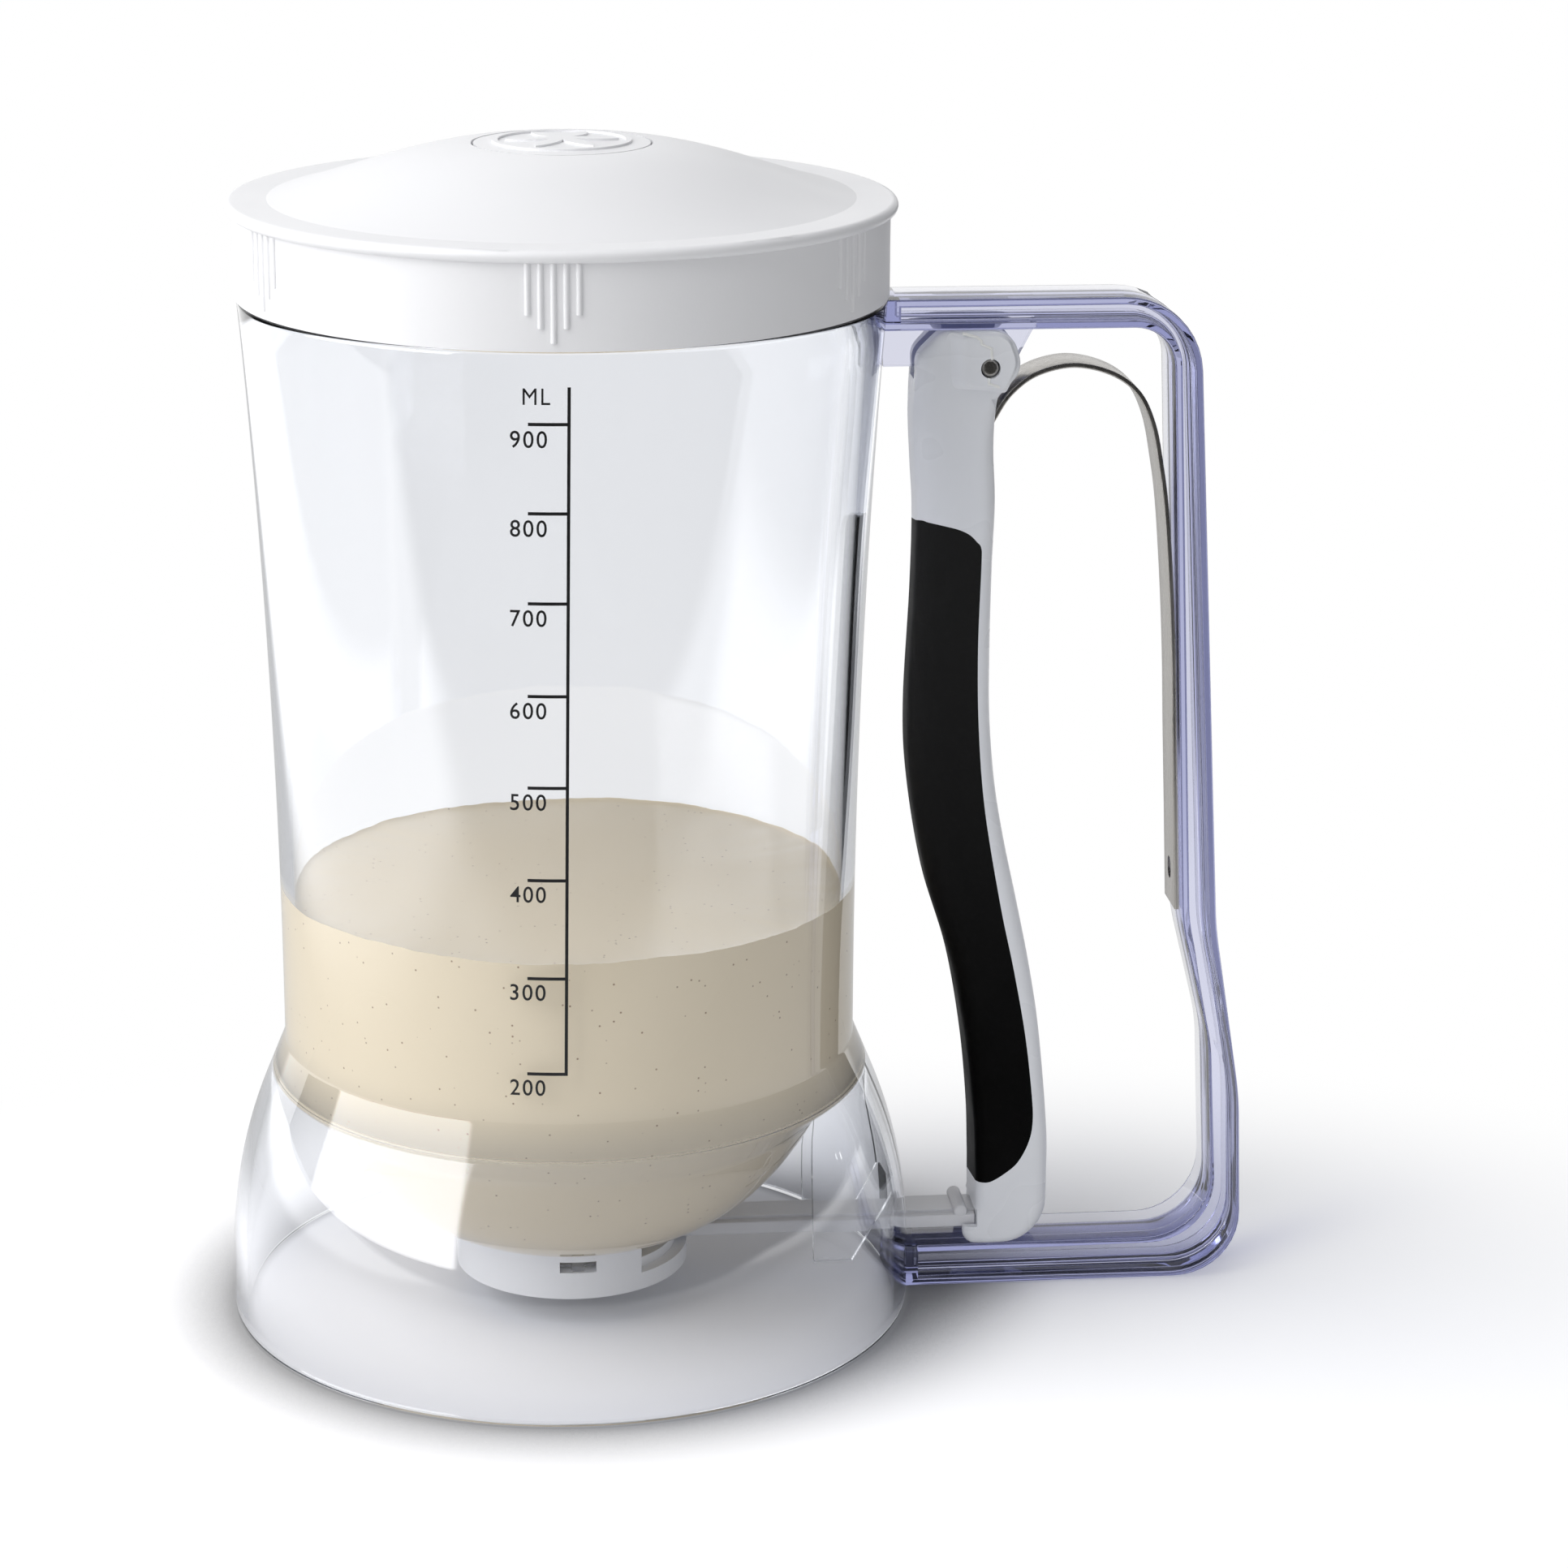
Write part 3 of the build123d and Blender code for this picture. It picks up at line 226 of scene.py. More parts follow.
# Table that mirrors show, a glow painted on the floor at levels that stand in for its light,
# brighter on the left and far right; its edges are in metres
TABLE_LEVEL, TABLE_LEFT_LEVEL, TABLE_FAR_LEVEL = 0.6, 1.6, 1.3
TABLE_FRONT_Y, TABLE_LEFT_X, TABLE_FAR_X, TABLE_RIGHT_X = -0.235, -0.22, 0.28, 0.45
TABLE_SOFT_Y, TABLE_SOFT_X = 0.03, 0.04

# Floor, with half its side in millimetres; its drop, the painted shadow that darkens it near the
# skirt and its fade into white are in metres
FLOOR_HALF, FLOOR_DROP = 3000, 0.0002
FLOOR_TONE, FLOOR_PALE = (1.33, 1.33, 1.35), (0.86, 0.86, 0.86, 1)
CONTACT_REACH, CONTACT_DARK, INNER_DARK, OUTER_DARK = 0.05, 0.2, 0.7, 0.85
CONTACT_SPREAD, INNER_EDGE, OUTER_EDGE = (0.4, 1.0), (0.053, 0.058), (0.062, 0.085)
FADE_SHIFT, FADE_SQUASH, FADE_EDGE = (-0.02, 0.03, 0), (0.72, 1.15, 1), (0.075, 0.17)

# Camera and key lamp, in metres and degrees
CAMERA_PLACE, CAMERA_LENS, CAMERA_SENSOR = (-0.03517, -0.67112, 0.29073), 97.6, 36.0
CAMERA_AHEAD = (0.10079375, 0.95250814, -0.28734797)
CAMERA_RIGHT = (0.9946157, -0.10346262, 0.00592332)
CAMERA_UP = (0.02408777, 0.28639784, 0.95780794)
KEY_AZIMUTH, KEY_ELEVATION, KEY_DISTANCE = 203, 43, 0.7
KEY_SIZE, KEY_POWER, MIDDLE_Z = (0.62, 0.85), 5.1, 0.09

# ------------------------------------------------------------------ small helpers


def make_object(name, points, faces, mat, body=None, smooth_to=35.0):
    """Mesh object from points in millimetres, shaded smooth up to an edge angle in degrees."""
    mesh = bpy.data.meshes.new(name)
    mesh.from_pydata([[c * MM for c in p] for p in points], [], faces)
    obj = bpy.data.objects.new(name, mesh)
    bpy.context.collection.objects.link(obj)
    if mat is not None:
        mesh.materials.append(mat)
    tidy_mesh(mesh, smooth_to)
    if body:
        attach(obj, body)
    return obj


def tidy_mesh(mesh, smooth_to):
    """Merge doubles, turn the faces outward and shade smooth with sharp edges kept."""
    bm = bmesh.new()
    bm.from_mesh(mesh)
    bmesh.ops.remove_doubles(bm, verts=bm.verts, dist=1e-7)
    bmesh.ops.recalc_face_normals(bm, faces=bm.faces)
    bm.to_mesh(mesh)
    bm.free()
    mesh.shade_smooth()
    mesh.set_sharp_from_angle(angle=math.radians(smooth_to))


def arc(centre, radius, start, end, steps):
    """Points of an arc; the angles are in degrees."""
    found = []
    for i in range(steps + 1):
        a = math.radians(start + (end - start) * i / steps)
        found.append((centre[0] + radius * math.cos(a), centre[1] + radius * math.sin(a)))
    return found


def rounded(corners, steps=5, closed=True):
    """Polyline through (x, z, rounding) corners with each corner turned into an arc."""
    found = []
    count = len(corners)
    for i, corner in enumerate(corners):
        x, z = corner[:2]
        r = corner[2] if len(corner) > 2 else 0.0
        if r == 0 or (not closed and i in (0, count - 1)):
            found.append((x, z))
            continue
        here = Vector((x, z))
        back = (Vector(corners[i - 1][:2]) - here).normalized()
        on = (Vector(corners[(i + 1) % count][:2]) - here).normalized()
        turn = math.pi - back.angle(on)
        if turn < 1e-4:
            found.append((x, z))
            continue
        cut = r * math.tan(turn / 2)
        centre = here + (back + on).normalized() * (r / math.cos(turn / 2))
        first, last = here + back * cut - centre, here + on * cut - centre
        span = first.angle_signed(last)
        for k in range(steps + 1):
            a = -span * k / steps
            c, s = math.cos(a), math.sin(a)
            x = centre.x + first.x * c - first.y * s
            z = centre.y + first.x * s + first.y * c
            found.append((x, z))
    return found


def smooth(points, steps=8):
    """Curve through the points, that leaves its ends straight."""
    line = [Vector(p) for p in points]
    line = [2 * line[0] - line[1], *line, 2 * line[-1] - line[-2]]
    found = []
    for a, b, c, d in zip(line, line[1:], line[2:], line[3:]):
        for i in range(steps):
            t = i / steps
            bend = (2 * a - 5 * b + 4 * c - d) * t**2 + (3 * b - a - 3 * c + d) * t**3
            found.append(tuple(0.5 * (2 * b + (c - a) * t + bend)))
    return found + [tuple(line[-2])]


def even(points, gap):
    """Closed outline with points at even distances."""
    line = [Vector(p) for p in points]
    line.append(line[0])
    reach = [0.0]
    for a, b in zip(line, line[1:]):
        reach.append(reach[-1] + (b - a).length)
    count = round(reach[-1] / gap)
    found, k = [], 0
    for i in range(count):
        s = reach[-1] * i / count
        while reach[k + 1] < s:
            k += 1
        share = (s - reach[k]) / (reach[k + 1] - reach[k])
        found.append(tuple(line[k].lerp(line[k + 1], share)))
    return found


def outward(outline):
    """Normals of a closed outline that runs anticlockwise."""
    n = len(outline)
    runs = [Vector(outline[(i + 1) % n]) - Vector(outline[i - 1]) for i in range(n)]
    return [Vector((run.y, -run.x)).normalized() for run in runs]


def along(line):
    """Normals of an open line, to the left of its way."""
    runs = [Vector(b) - Vector(a) for a, b in zip(line, line[1:])]
    bends = [a.normalized() + b.normalized() for a, b in zip(runs, runs[1:])]
    return [Vector((-run.y, run.x)).normalized() for run in (runs[0], *bends, runs[-1])]


def loft(rings):
    """Points and faces of a solid through rings of as many points each."""
    n = len(rings[0])
    points = [p for ring in rings for p in ring]
    faces = []
    for low in range(0, len(points) - n, n):
        high = low + n
        for k in range(n):
            on = (k + 1) % n
            faces.append((low + k, low + on, high + on, high + k))
    faces += [tuple(range(n)), tuple(reversed(range(len(points) - n, len(points))))]
    return points, faces


def prism(outline, y0, y1):
    """Points and faces of an (x, z) outline between two Y planes."""
    return loft([[(x, y, z) for x, z in outline] for y in (y0, y1)])


def pierce(outline, x0, x1):
    """Points and faces of a (y, z) outline between two X planes."""
    return loft([[(x, y, z) for y, z in outline] for x in (x0, x1)])


def block(x0, x1, y0, y1, z0, z1):
    """Points and faces of a box."""
    return prism([(x0, z0), (x1, z0), (x1, z1), (x0, z1)], y0, y1)


def ramp(value, low, high):
    """Smooth step from 0 at low to 1 at high."""
    t = min(max((value - low) / (high - low), 0.0), 1.0)
    return t * t * (3 - 2 * t)


def lathe(profile, segments=SEGMENTS, start=0.0, end=math.tau):
    """Points and faces of a closed (radius, height) profile turned about Z."""
    whole = abs(end - start - math.tau) < 1e-9
    rows = segments if whole else segments + 1
    points = []
    for i in range(rows):
        a = start + (end - start) * i / segments
        points += [(r * math.cos(a), r * math.sin(a), z) for r, z in profile]
    n = len(profile)
    faces = []
    for i in range(segments):
        here, there = i * n, (i + 1) % rows * n
        for k in range(n):
            on = (k + 1) % n
            faces.append((here + k, there + k, there + on, here + on))
    if not whole:
        faces += [tuple(range(n)), tuple(reversed(range(segments * n, segments * n + n)))]
    return points, faces


def flare_r(low, high, z):
    """Radius at a height of the arc that starts upright at low and ends at high."""
    (r0, z0), (r1, z1) = low, high
    rise, out = z1 - z0, r1 - r0
    radius = (rise**2 + out**2) / (2 * out)
    return r0 + radius - math.sqrt(radius**2 - (z - z0) ** 2)


def flare(low, high, steps):
    """Points of that arc."""
    z0, rise = low[1], high[1] - low[1]
    heights = [z0 + rise * i / steps for i in range(steps + 1)]
    return [(flare_r(low, high, z), z) for z in heights]


def bowl_z(r, wall=0.0):
    """Height of the bowl's arc at a radius, a wall thickness inside it."""
    return BOWL_CENTRE[1] - math.sqrt((BOWL_ARC_R - wall) ** 2 - (r - BOWL_CENTRE[0]) ** 2)


def combine(base, others, operation):
    """Boolean of base with each of the others, which are then deleted."""
    for other in others:
        modifier = base.modifiers.new("cut", "BOOLEAN")
        modifier.operation = operation
        modifier.solver = "EXACT"
        modifier.object = other
    apply_modifiers(base)
    for other in others:
        bpy.data.objects.remove(other)


def apply_modifiers(obj):
    """Put the modified mesh in place of the plain one."""
    graph = bpy.context.evaluated_depsgraph_get()
    mesh = bpy.data.meshes.new_from_object(obj.evaluated_get(graph))
    obj.modifiers.clear()
    obj.data = mesh


# ------------------------------------------------------------------ materials


def material(name, colour, roughness, **values):
    """Principled material and its shader node."""
    mat = bpy.data.materials.new(name)
    mat.use_nodes = True
    shader = mat.node_tree.nodes["Principled BSDF"]
    shader.inputs["Base Color"].default_value = (*colour, 1)
    shader.inputs["Roughness"].default_value = roughness
    for key, value in values.items():
        shader.inputs[key.replace("_", " ")].default_value = value
    return mat, shader


def new_node(tree, kind, *inputs, **settings):
    """Node with its first inputs linked to sockets or set to values, and others set by name."""
    node = tree.nodes.new(kind)
    for key, value in settings.items():
        if key in node.inputs:
            node.inputs[key].default_value = value
        else:
            setattr(node, key, value)
    for socket, value in zip(node.inputs, inputs):
        if isinstance(value, bpy.types.NodeSocket):
            tree.links.new(value, socket)
        elif value is not None:
            socket.default_value = value
    return node


def step(tree, value, edge, low, high):
    """Smooth step of a socket's value from low to high over an edge."""
    kind = {"interpolation_type": "SMOOTHSTEP"}
    return new_node(tree, "ShaderNodeMapRange", value, *edge, low, high, **kind).outputs[0]


def maths(tree, operation, *inputs):
    """Result of a Math node."""
    return new_node(tree, "ShaderNodeMath", *inputs, operation=operation).outputs[0]


def vector_maths(tree, operation, *inputs, output="Vector"):
    """Result of a Vector Math node."""
    return new_node(tree, "ShaderNodeVectorMath", *inputs, operation=operation).outputs[output]


def place_of(tree):
    """Place in object space, in metres."""
    return tree.nodes.new("ShaderNodeTexCoord").outputs["Object"]


def axis_of(tree, vector, axis):
    """One coordinate of a vector."""
    return new_node(tree, "ShaderNodeSeparateXYZ", vector).outputs[axis]


def object_noise(tree, scale, detail=2.0, stretch=(1, 1, 1)):
    """Noise in object space, in cycles per metre."""
    mapping = new_node(tree, "ShaderNodeMapping", place_of(tree), Scale=stretch).outputs[0]
    return new_node(tree, "ShaderNodeTexNoise", mapping, Scale=scale, Detail=detail).outputs["Fac"]


def add_bump(tree, shader, height, strength, distance):
    """Bump from a height socket."""
    bump = new_node(tree, "ShaderNodeBump", Strength=strength, Distance=distance)
    tree.links.new(height, bump.inputs["Height"])
    tree.links.new(bump.outputs["Normal"], shader.inputs["Normal"])


def vary_roughness(tree, shader, factor, low, high):
    """Drive the roughness between two values by a noise socket."""
    spread = new_node(tree, "ShaderNodeMapRange", factor, 0.35, 0.65, low, high)
    tree.links.new(spread.outputs[0], shader.inputs["Roughness"])


def clear_plastic(name, tint_colour, density, shadow=(0.95, 0.95, 0.955)):
    """Clear styrene: glass that lets lamps and bounced light through, lavender by its depth."""
    mat, shader = material(name, (1, 1, 1), 0.01, IOR=1.57, Transmission_Weight=1.0)
    tree = mat.node_tree
    path = tree.nodes.new("ShaderNodeLightPath").outputs
    glass = shader.outputs["BSDF"]
    through = new_node(tree, "ShaderNodeBsdfTransparent", Color=(*shadow, 1)).outputs[0]
    bounced = new_node(tree, "ShaderNodeMixShader", path["Is Diffuse Ray"], glass, through)
    mix = new_node(tree, "ShaderNodeMixShader", path["Is Shadow Ray"], bounced.outputs[0], through)
    tint = new_node(tree, "ShaderNodeVolumeAbsorption", Color=(*tint_colour, 1), Density=density)
    out = tree.nodes["Material Output"]
    tree.links.new(mix.outputs[0], out.inputs["Surface"])
    tree.links.new(tint.outputs[0], out.inputs["Volume"])
    return mat


def satin_plastic(name, colour, roughness=0.38):
    """Moulded opaque plastic with a fine grain and slightly uneven sheen."""
    mat, shader = material(name, colour, roughness, IOR=1.49)
    tree = mat.node_tree
    sheen = object_noise(tree, 60)
    vary_roughness(tree, shader, sheen, roughness - 0.05, roughness + 0.05)
    add_bump(tree, shader, object_noise(tree, 2500, 3), 0.04, 0.0004)
    return mat


def soft_grip():
    """Matte black overmould with a fine grain, with painted shade: a little paler towards its top
    and a deeper black towards its bottom.
    """
    black = (0.003, 0.003, 0.0035)
    mat, shader = material("soft grip", black, 0.5, IOR=1.5, Specular_IOR_Level=0.07)
    tree = mat.node_tree
    add_bump(tree, shader, object_noise(tree, 5000, 3), 0.12, 0.0004)
    vary_roughness(tree, shader, object_noise(tree, 90), 0.5, 0.62)
    # Painted shade: the base colour falls with height, so the grip's bottom is painted deeper black
    # than its top
    tone = step(tree, axis_of(tree, place_of(tree), "Z"), (0.03, 0.13), 0.0004, 0.016)
    colour = new_node(tree, "ShaderNodeCombineColor", tone, tone, tone).outputs[0]
    tree.links.new(colour, shader.inputs["Base Color"])
    return mat


def spring_steel():
    """Satin steel strip, brushed along its length."""
    mat, shader = material("spring steel", (0.56, 0.54, 0.51), 0.28, Metallic=1.0)
    tree = mat.node_tree
    lines = object_noise(tree, 900, 3, (1, 4, 0.12))
    vary_roughness(tree, shader, lines, 0.22, 0.36)
    add_bump(tree, shader, lines, 0.05, 0.0003)
    return mat


def ink():
    """Screen-printed black."""
    mat, shader = material("ink", (0.006, 0.006, 0.007), 0.45)
    vary_roughness(mat.node_tree, shader, object_noise(mat.node_tree, 400), 0.38, 0.55)
    return mat


def batter_material():
    """Cream batter with sparse brown specks."""
    mat, shader = material("batter", CREAM, 0.3, IOR=1.4)
    tree = mat.node_tree
    specks = new_node(tree, "ShaderNodeTexVoronoi", place_of(tree), Scale=SPECK_RATE)
    near = new_node(tree, "ShaderNodeMapRange", specks.outputs["Distance"], *SPECK_EDGE, 1.0, 0.0)
    chance = new_node(tree, "ShaderNodeSeparateColor", specks.outputs["Color"]).outputs["Red"]
    few = maths(tree, "GREATER_THAN", chance, SPECK_CHANCE)
    speck = maths(tree, "MULTIPLY", near.outputs[0], few)
    tone = new_node(tree, "ShaderNodeMix", speck, data_type="RGBA")
    tone.inputs[6].default_value = (*CREAM, 1)
    tone.inputs[7].default_value = (*SPECK_BROWN, 1)
    tree.links.new(tone.outputs[2], shader.inputs["Base Color"])
    return mat


CLEAR = clear_plastic("clear plastic", (0.2, 0.375, 0.75), 20.0)
DEEP_CLEAR = clear_plastic("deep clear plastic", (0.2, 0.24, 0.64), 112.0, (0.94, 0.94, 0.955))
WHITE = satin_plastic("white plastic", (0.86, 0.86, 0.875))
LEVER_WHITE = satin_plastic("lever plastic", (0.85, 0.865, 0.9), 0.3)
# Painted highlight: the raised parting lines are real, their paler colour stands in for the light
# they catch
SEAM_PAINTED_HIGHLIGHT = satin_plastic("parting line", (0.9, 0.9, 0.88), 0.3)
GREY = satin_plastic("grey plastic", (0.77, 0.77, 0.79), 0.35)
# Painted light: a brighter copy of the white plastic, lifted against the shade the ring sits in
# under the skirt
RING_WHITE_PAINTED_LIGHT = satin_plastic("ring plastic", (0.95, 0.955, 0.97))
SILICONE = satin_plastic("silicone", (0.8, 0.8, 0.78), 0.5)
GRIP = soft_grip()
STEEL = spring_steel()
INK = ink()
BATTER = batter_material()

# ------------------------------------------------------------------ clear moulding


def skirt_side(inset):
    """Skirt from its top down to the foot, moved in by inset."""
    arc_r = SKIRT_ARC_R - inset
    centre = (BASE_R - SKIRT_ARC_R, SKIRT_FOOT_Z)
    return arc(centre, arc_r, math.degrees(SKIRT_SLOPE), 0, 14)


def waist_slope():
    """Direction from the bowl's waist up to the fork of jug and skirt."""
    return Vector((BODY_R - BOWL_WAIST_R, APEX_Z - bowl_z(BOWL_WAIST_R))).normalized()


def bowl_inside(gap=0.0, steps=14):
    """Inside of the bowl from the outlet to the flare, moved in by gap."""
    wall = BOWL_WALL + gap
    slope = waist_slope()
    waist_r = BOWL_WAIST_R - slope.y * wall
    waist_z = bowl_z(waist_r, wall)
    floor_z = bowl_z(BOWL_FOOT_R) + FLOOR_T + gap
    found = [(OUTLET_R - gap, floor_z)]
    for i in range(steps + 1):
        r = FLOOR_EDGE_R + (waist_r - FLOOR_EDGE_R) * math.sin(math.pi / 2 * i / steps)
        found.append((r, bowl_z(r, wall)))
    top_r = BODY_IN_R - gap
    knee = (top_r, waist_z + (top_r - waist_r) * slope.y / slope.x)
    bend = rounded([found[-1], (*knee, KNEE_R), (top_r, FLARE_Z)], 12, closed=False)
    return found + bend[1:]


def rounded_open(*corners, steps=4):
    """What lies between the ends of an open polyline with rounded corners."""
    return rounded(corners, steps, closed=False)[1:-1]


def jug_profile():
    """Closed section of jug and skirt, which are one wall that forks at the skirt's top."""
    bottom_z = bowl_z(BOWL_FOOT_R)
    neck = rounded_open(
        (MOUTH_R, NECK_TOP_Z - 3),
        (MOUTH_R, NECK_TOP_Z, 0.7),
        (NECK_R, NECK_TOP_Z, 0.6),
        (NECK_R, SHOULDER_Z, 0.4),
        (BODY_TOP_R, SHOULDER_Z, 0.8),
        (BODY_TOP_R - 0.1, SHOULDER_Z - 3),
    )
    wall = flare((BODY_R, FLARE_Z), (BODY_TOP_R, SHOULDER_Z), 24)[-2::-1]
    skirt = skirt_side(0)
    crease = rounded_open((BODY_R, FLARE_Z), (BODY_R, SKIRT_TOP_Z, 2.0), skirt[0])
    lip = rounded(
        [
            (BASE_R, 2.0),
            (BASE_R, 0, LIP),
            (BASE_R - SKIRT_WALL, 0, LIP),
            (BASE_R - SKIRT_WALL, 2.0),
        ],
        4,
        closed=False,
    )
    inner_skirt = skirt_side(SKIRT_WALL)[::-1]
    under = rounded_open(
        inner_skirt[-1],
        (BODY_R, APEX_Z, 1.1),
        (BOWL_WAIST_R, bowl_z(BOWL_WAIST_R), 6.0),
        (BELLY_R, bowl_z(BELLY_R)),
        steps=12,
    )
    angles = [math.pi / 2 * i / 14 for i in range(14, 0, -1)]
    radii = [BOWL_FOOT_R + (BELLY_R - BOWL_FOOT_R) * math.sin(a) for a in angles]
    belly = [(r, bowl_z(r)) for r in radii]
    seal_in, seal_out = SEAL_R
    foot = rounded_open(
        belly[-1],
        (BOWL_FOOT_R, bottom_z, 0.4),
        (seal_out, bottom_z, 0.15),
        (seal_out, bottom_z + SEAL_DEPTH),
        (seal_in, bottom_z + SEAL_DEPTH),
        (seal_in, bottom_z, 0.15),
        (OUTLET_R, bottom_z, 0.3),
        (OUTLET_R, bottom_z + FLOOR_T, 0.4),
        (FLOOR_EDGE_R, bowl_z(FLOOR_EDGE_R, BOWL_WALL)),
        steps=3,
    )
    inner_wall = flare((BODY_IN_R, FLARE_Z), (MOUTH_R, SHOULDER_Z), 24)
    outside = neck + wall + crease + skirt + lip
    return outside + inner_skirt[:-1] + under + belly + foot + bowl_inside()[1:-1] + inner_wall


def matched(corners, steps=10, between=8):
    """Handle edge from its top root to its low one, with as many points in each stretch."""
    ends = [(ROOT_TOP_X, corners[0][1]), *corners, (ROOT_LOW_X, corners[-1][1])]
    bends = rounded(ends, steps, closed=False)
    stretches = [bends[:1]]
    for k in range(1, len(bends) - 1, steps + 1):
        stretches.append(bends[k : k + steps + 1])
    stretches.append(bends[-1:])
    found = []
    for before, after in zip(stretches, stretches[1:]):
        a, b = Vector(before[-1]), Vector(after[0])
        found += before + [tuple(a.lerp(b, k / between)) for k in range(1, between)]
    return found + stretches[-1]


def channel_section(thick):
    """H-shaped section as (across, depth) points, with rounded edges."""
    f, w, half = HANDLE_FLANGE, HANDLE_WEB_HALF, HANDLE_HALF
    near = [(0, -half, 0.4), (f, -half, 0.2), (f, -w, 0.6)]
    near += [(thick - f, -w, 0.6), (thick - f, -half, 0.2), (thick, -half, 0.4)]
    return rounded(near + [(s, -y, r) for s, y, r in reversed(near)], 4)


def handle_mesh():
    """C-shaped handle lofted through matched stations of its outer and inner edge."""
    rings = []
    for (ox, oz), (ix, iz) in zip(matched(HANDLE_OUTER), matched(HANDLE_INNER)):
        across = Vector((ox - ix, oz - iz))
        section = channel_section(across.length)
        across.normalize()
        rings.append([(ix + across.x * s, y, iz + across.y * s) for s, y in section])
    return loft(rings)


def collar(x0, x1, z0, z1):
    """Solid end of the handle's channel, next to the wall."""
    half = HANDLE_HALF - 0.02
    return block(x0, x1, -half, half, z0, z1)


def cheek_outline():
    """Guide plate between bowl and skirt, as it is cut at its own middle."""

    def at(r, z):
        return math.sqrt(r * r - CHEEK_MIDDLE_Y * CHEEK_MIDDLE_Y), z

    slant_x = CHEEK_X + CHEEK_FLAT
    skirt = [at(*p) for p in skirt_side(SKIRT_WALL / 2)]
    low_z = CHEEK_LOW_Z + (skirt[-1][0] - slant_x) * math.tan(CHEEK_SLANT)
    skirt = [p for p in skirt if p[1] > low_z + 1]
    slope, sunk = waist_slope(), CHEEK_SUNK
    waist = at(BOWL_WAIST_R - slope.y * sunk, bowl_z(BOWL_WAIST_R) + slope.x * sunk)
    top = [*reversed(skirt), at(BODY_R, APEX_Z + CHEEK_RISE), waist]
    return [(CHEEK_X, CHEEK_LOW_Z), (slant_x, CHEEK_LOW_Z), (skirt[-1][0], low_z), *top]


def snap_wall(side):
    """Wall under the bowl that carries a snap lug; side is 1 at the back, -1 in front."""
    middle, half = side * math.pi / 2, math.asin(SNAP_HALF / SNAP_R[1])
    (r0, r1), (z0, z1) = SNAP_R, SNAP_Z
    return lathe([(r0, z0), (r1, z0), (r1, z1), (r0, z1)], 8, middle - half, middle + half)


def snap_lug(side):
    """Small lug on a snap wall."""
    y0, y1 = sorted(side * r for r in SNAP_LUG_R)
    return block(-SNAP_LUG_HALF, SNAP_LUG_HALF, y0, y1, SNAP_Z[0], SNAP_LUG_TOP_Z)


def temp(shape):
    """Object for a boolean."""
    return make_object("tool", *shape, None)


def finish_clear(clear, mat):
    """Smooth the joined solid and give it its one material."""
    tidy_mesh(clear.data, 32)
    clear.data.materials.clear()
    clear.data.materials.append(mat)


def make_jug():
    """Jug, skirt, guide cheeks and snap walls as one clear solid."""
    jug = make_object("clear_jug", *lathe(jug_profile(), JUG_SEGMENTS), CLEAR, "jug")
    added = []
    for side in (-1, 1):
        y0, y1 = sorted(side * y for y in CHEEK_Y)
        added += [temp(prism(cheek_outline(), y0, y1)), temp(snap_wall(side)), temp(snap_lug(side))]
    combine(jug, added, "UNION")
    x0, x1, y0, y1, z0, z1 = WINDOW
    corners = [(y, z, WINDOW_CORNER) for y, z in ((y0, z0), (y1, z0), (y1, z1), (y0, z1))]
    combine(jug, [temp(pierce(rounded(corners, 6), x0, x1))], "DIFFERENCE")
    finish_clear(jug, CLEAR)
    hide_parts("jug_body", "base_skirt")


def make_handle():
    """Handle with the closed ends of its channel and the lug for the pin."""
    handle = make_object("clear_handle", *handle_mesh(), DEEP_CLEAR, "jug")
    lug = prism(rounded(LUG_OUTLINE, 1), -LUG_HALF, LUG_HALF)
    boss = prism(arc((PIN_X, PIN_Z), LUG_BOSS_R, 0, 352.5, 47), -LUG_HALF, LUG_HALF)
    ends = [collar(*limits) for limits in COLLARS]
    combine(handle, [temp(shape) for shape in (*ends, lug, boss)], "UNION")
    bore = prism(arc((PIN_X, PIN_Z), PIN_R, 0, 345, 23), -4, 4)
    combine(handle, [temp(bore)], "DIFFERENCE")
    finish_clear(handle, DEEP_CLEAR)
    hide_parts("handle_frame")


# ------------------------------------------------------------------ lever and spring


def lever_outline():
    """Closed outline of the lever."""
    front, rear = smooth(LEVER_FRONT), smooth(LEVER_REAR)
    toe = rounded([front[-1], *LEVER_TOE, rear[0]], 12, closed=False)
    head = rounded([rear[-1], *LEVER_HEAD, front[0]], 12, closed=False)
    return even(front + toe[1:-1] + rear + head[1:-1], OUTLINE_GAP)


def lever_edges(outline):
    """How far the rounding of the lever's edge reaches in and back, at each of its points."""
    reach = []
    for (_, z), normal in zip(outline, outward(outline)):
        grown, head = ramp(z, *EDGE_GROWS_Z), ramp(z, *EDGE_HEAD_Z)
        edges = (EDGE_FRONT, EDGE_REAR, EDGE_END)
        front, rear, end = (base + more * grown - less * head for base, more, less in edges)
        side = front if normal.x < 0 else rear
        reach.append(end + (side - end) * abs(normal.x))
    n, window = len(reach), range(-6, 7)
    inward = [sum(reach[(i + k) % n] for k in window) / len(window) for i in range(n)]
    return inward, [min(EDGE_BACK_SHARE * r, EDGE_BACK_MOST) for r in inward]


def pillow(outline, inward, back, half, steps=7):
    """Solid between two flat faces whose edges are rounded by their own amount at each point."""
    normals = outward(outline)
    rows = [(FACE_INSET, 1.0)]
    for k in range(steps, -1, -1):
        a = math.pi / 2 * k / steps
        rows.append((1 - math.cos(a), math.sin(a)))
    rows = [(*row, -1) for row in rows] + [(*row, 1) for row in reversed(rows)]
    rings = []
    for share, rise, side in rows:
        ring = []
        for (x, z), normal, i, d in zip(outline, normals, inward, back):
            y = side * (half - d + d * rise)
            ring.append((x - normal.x * i * share, y, z - normal.y * i * share))
        rings.append(ring)
    return loft(rings)


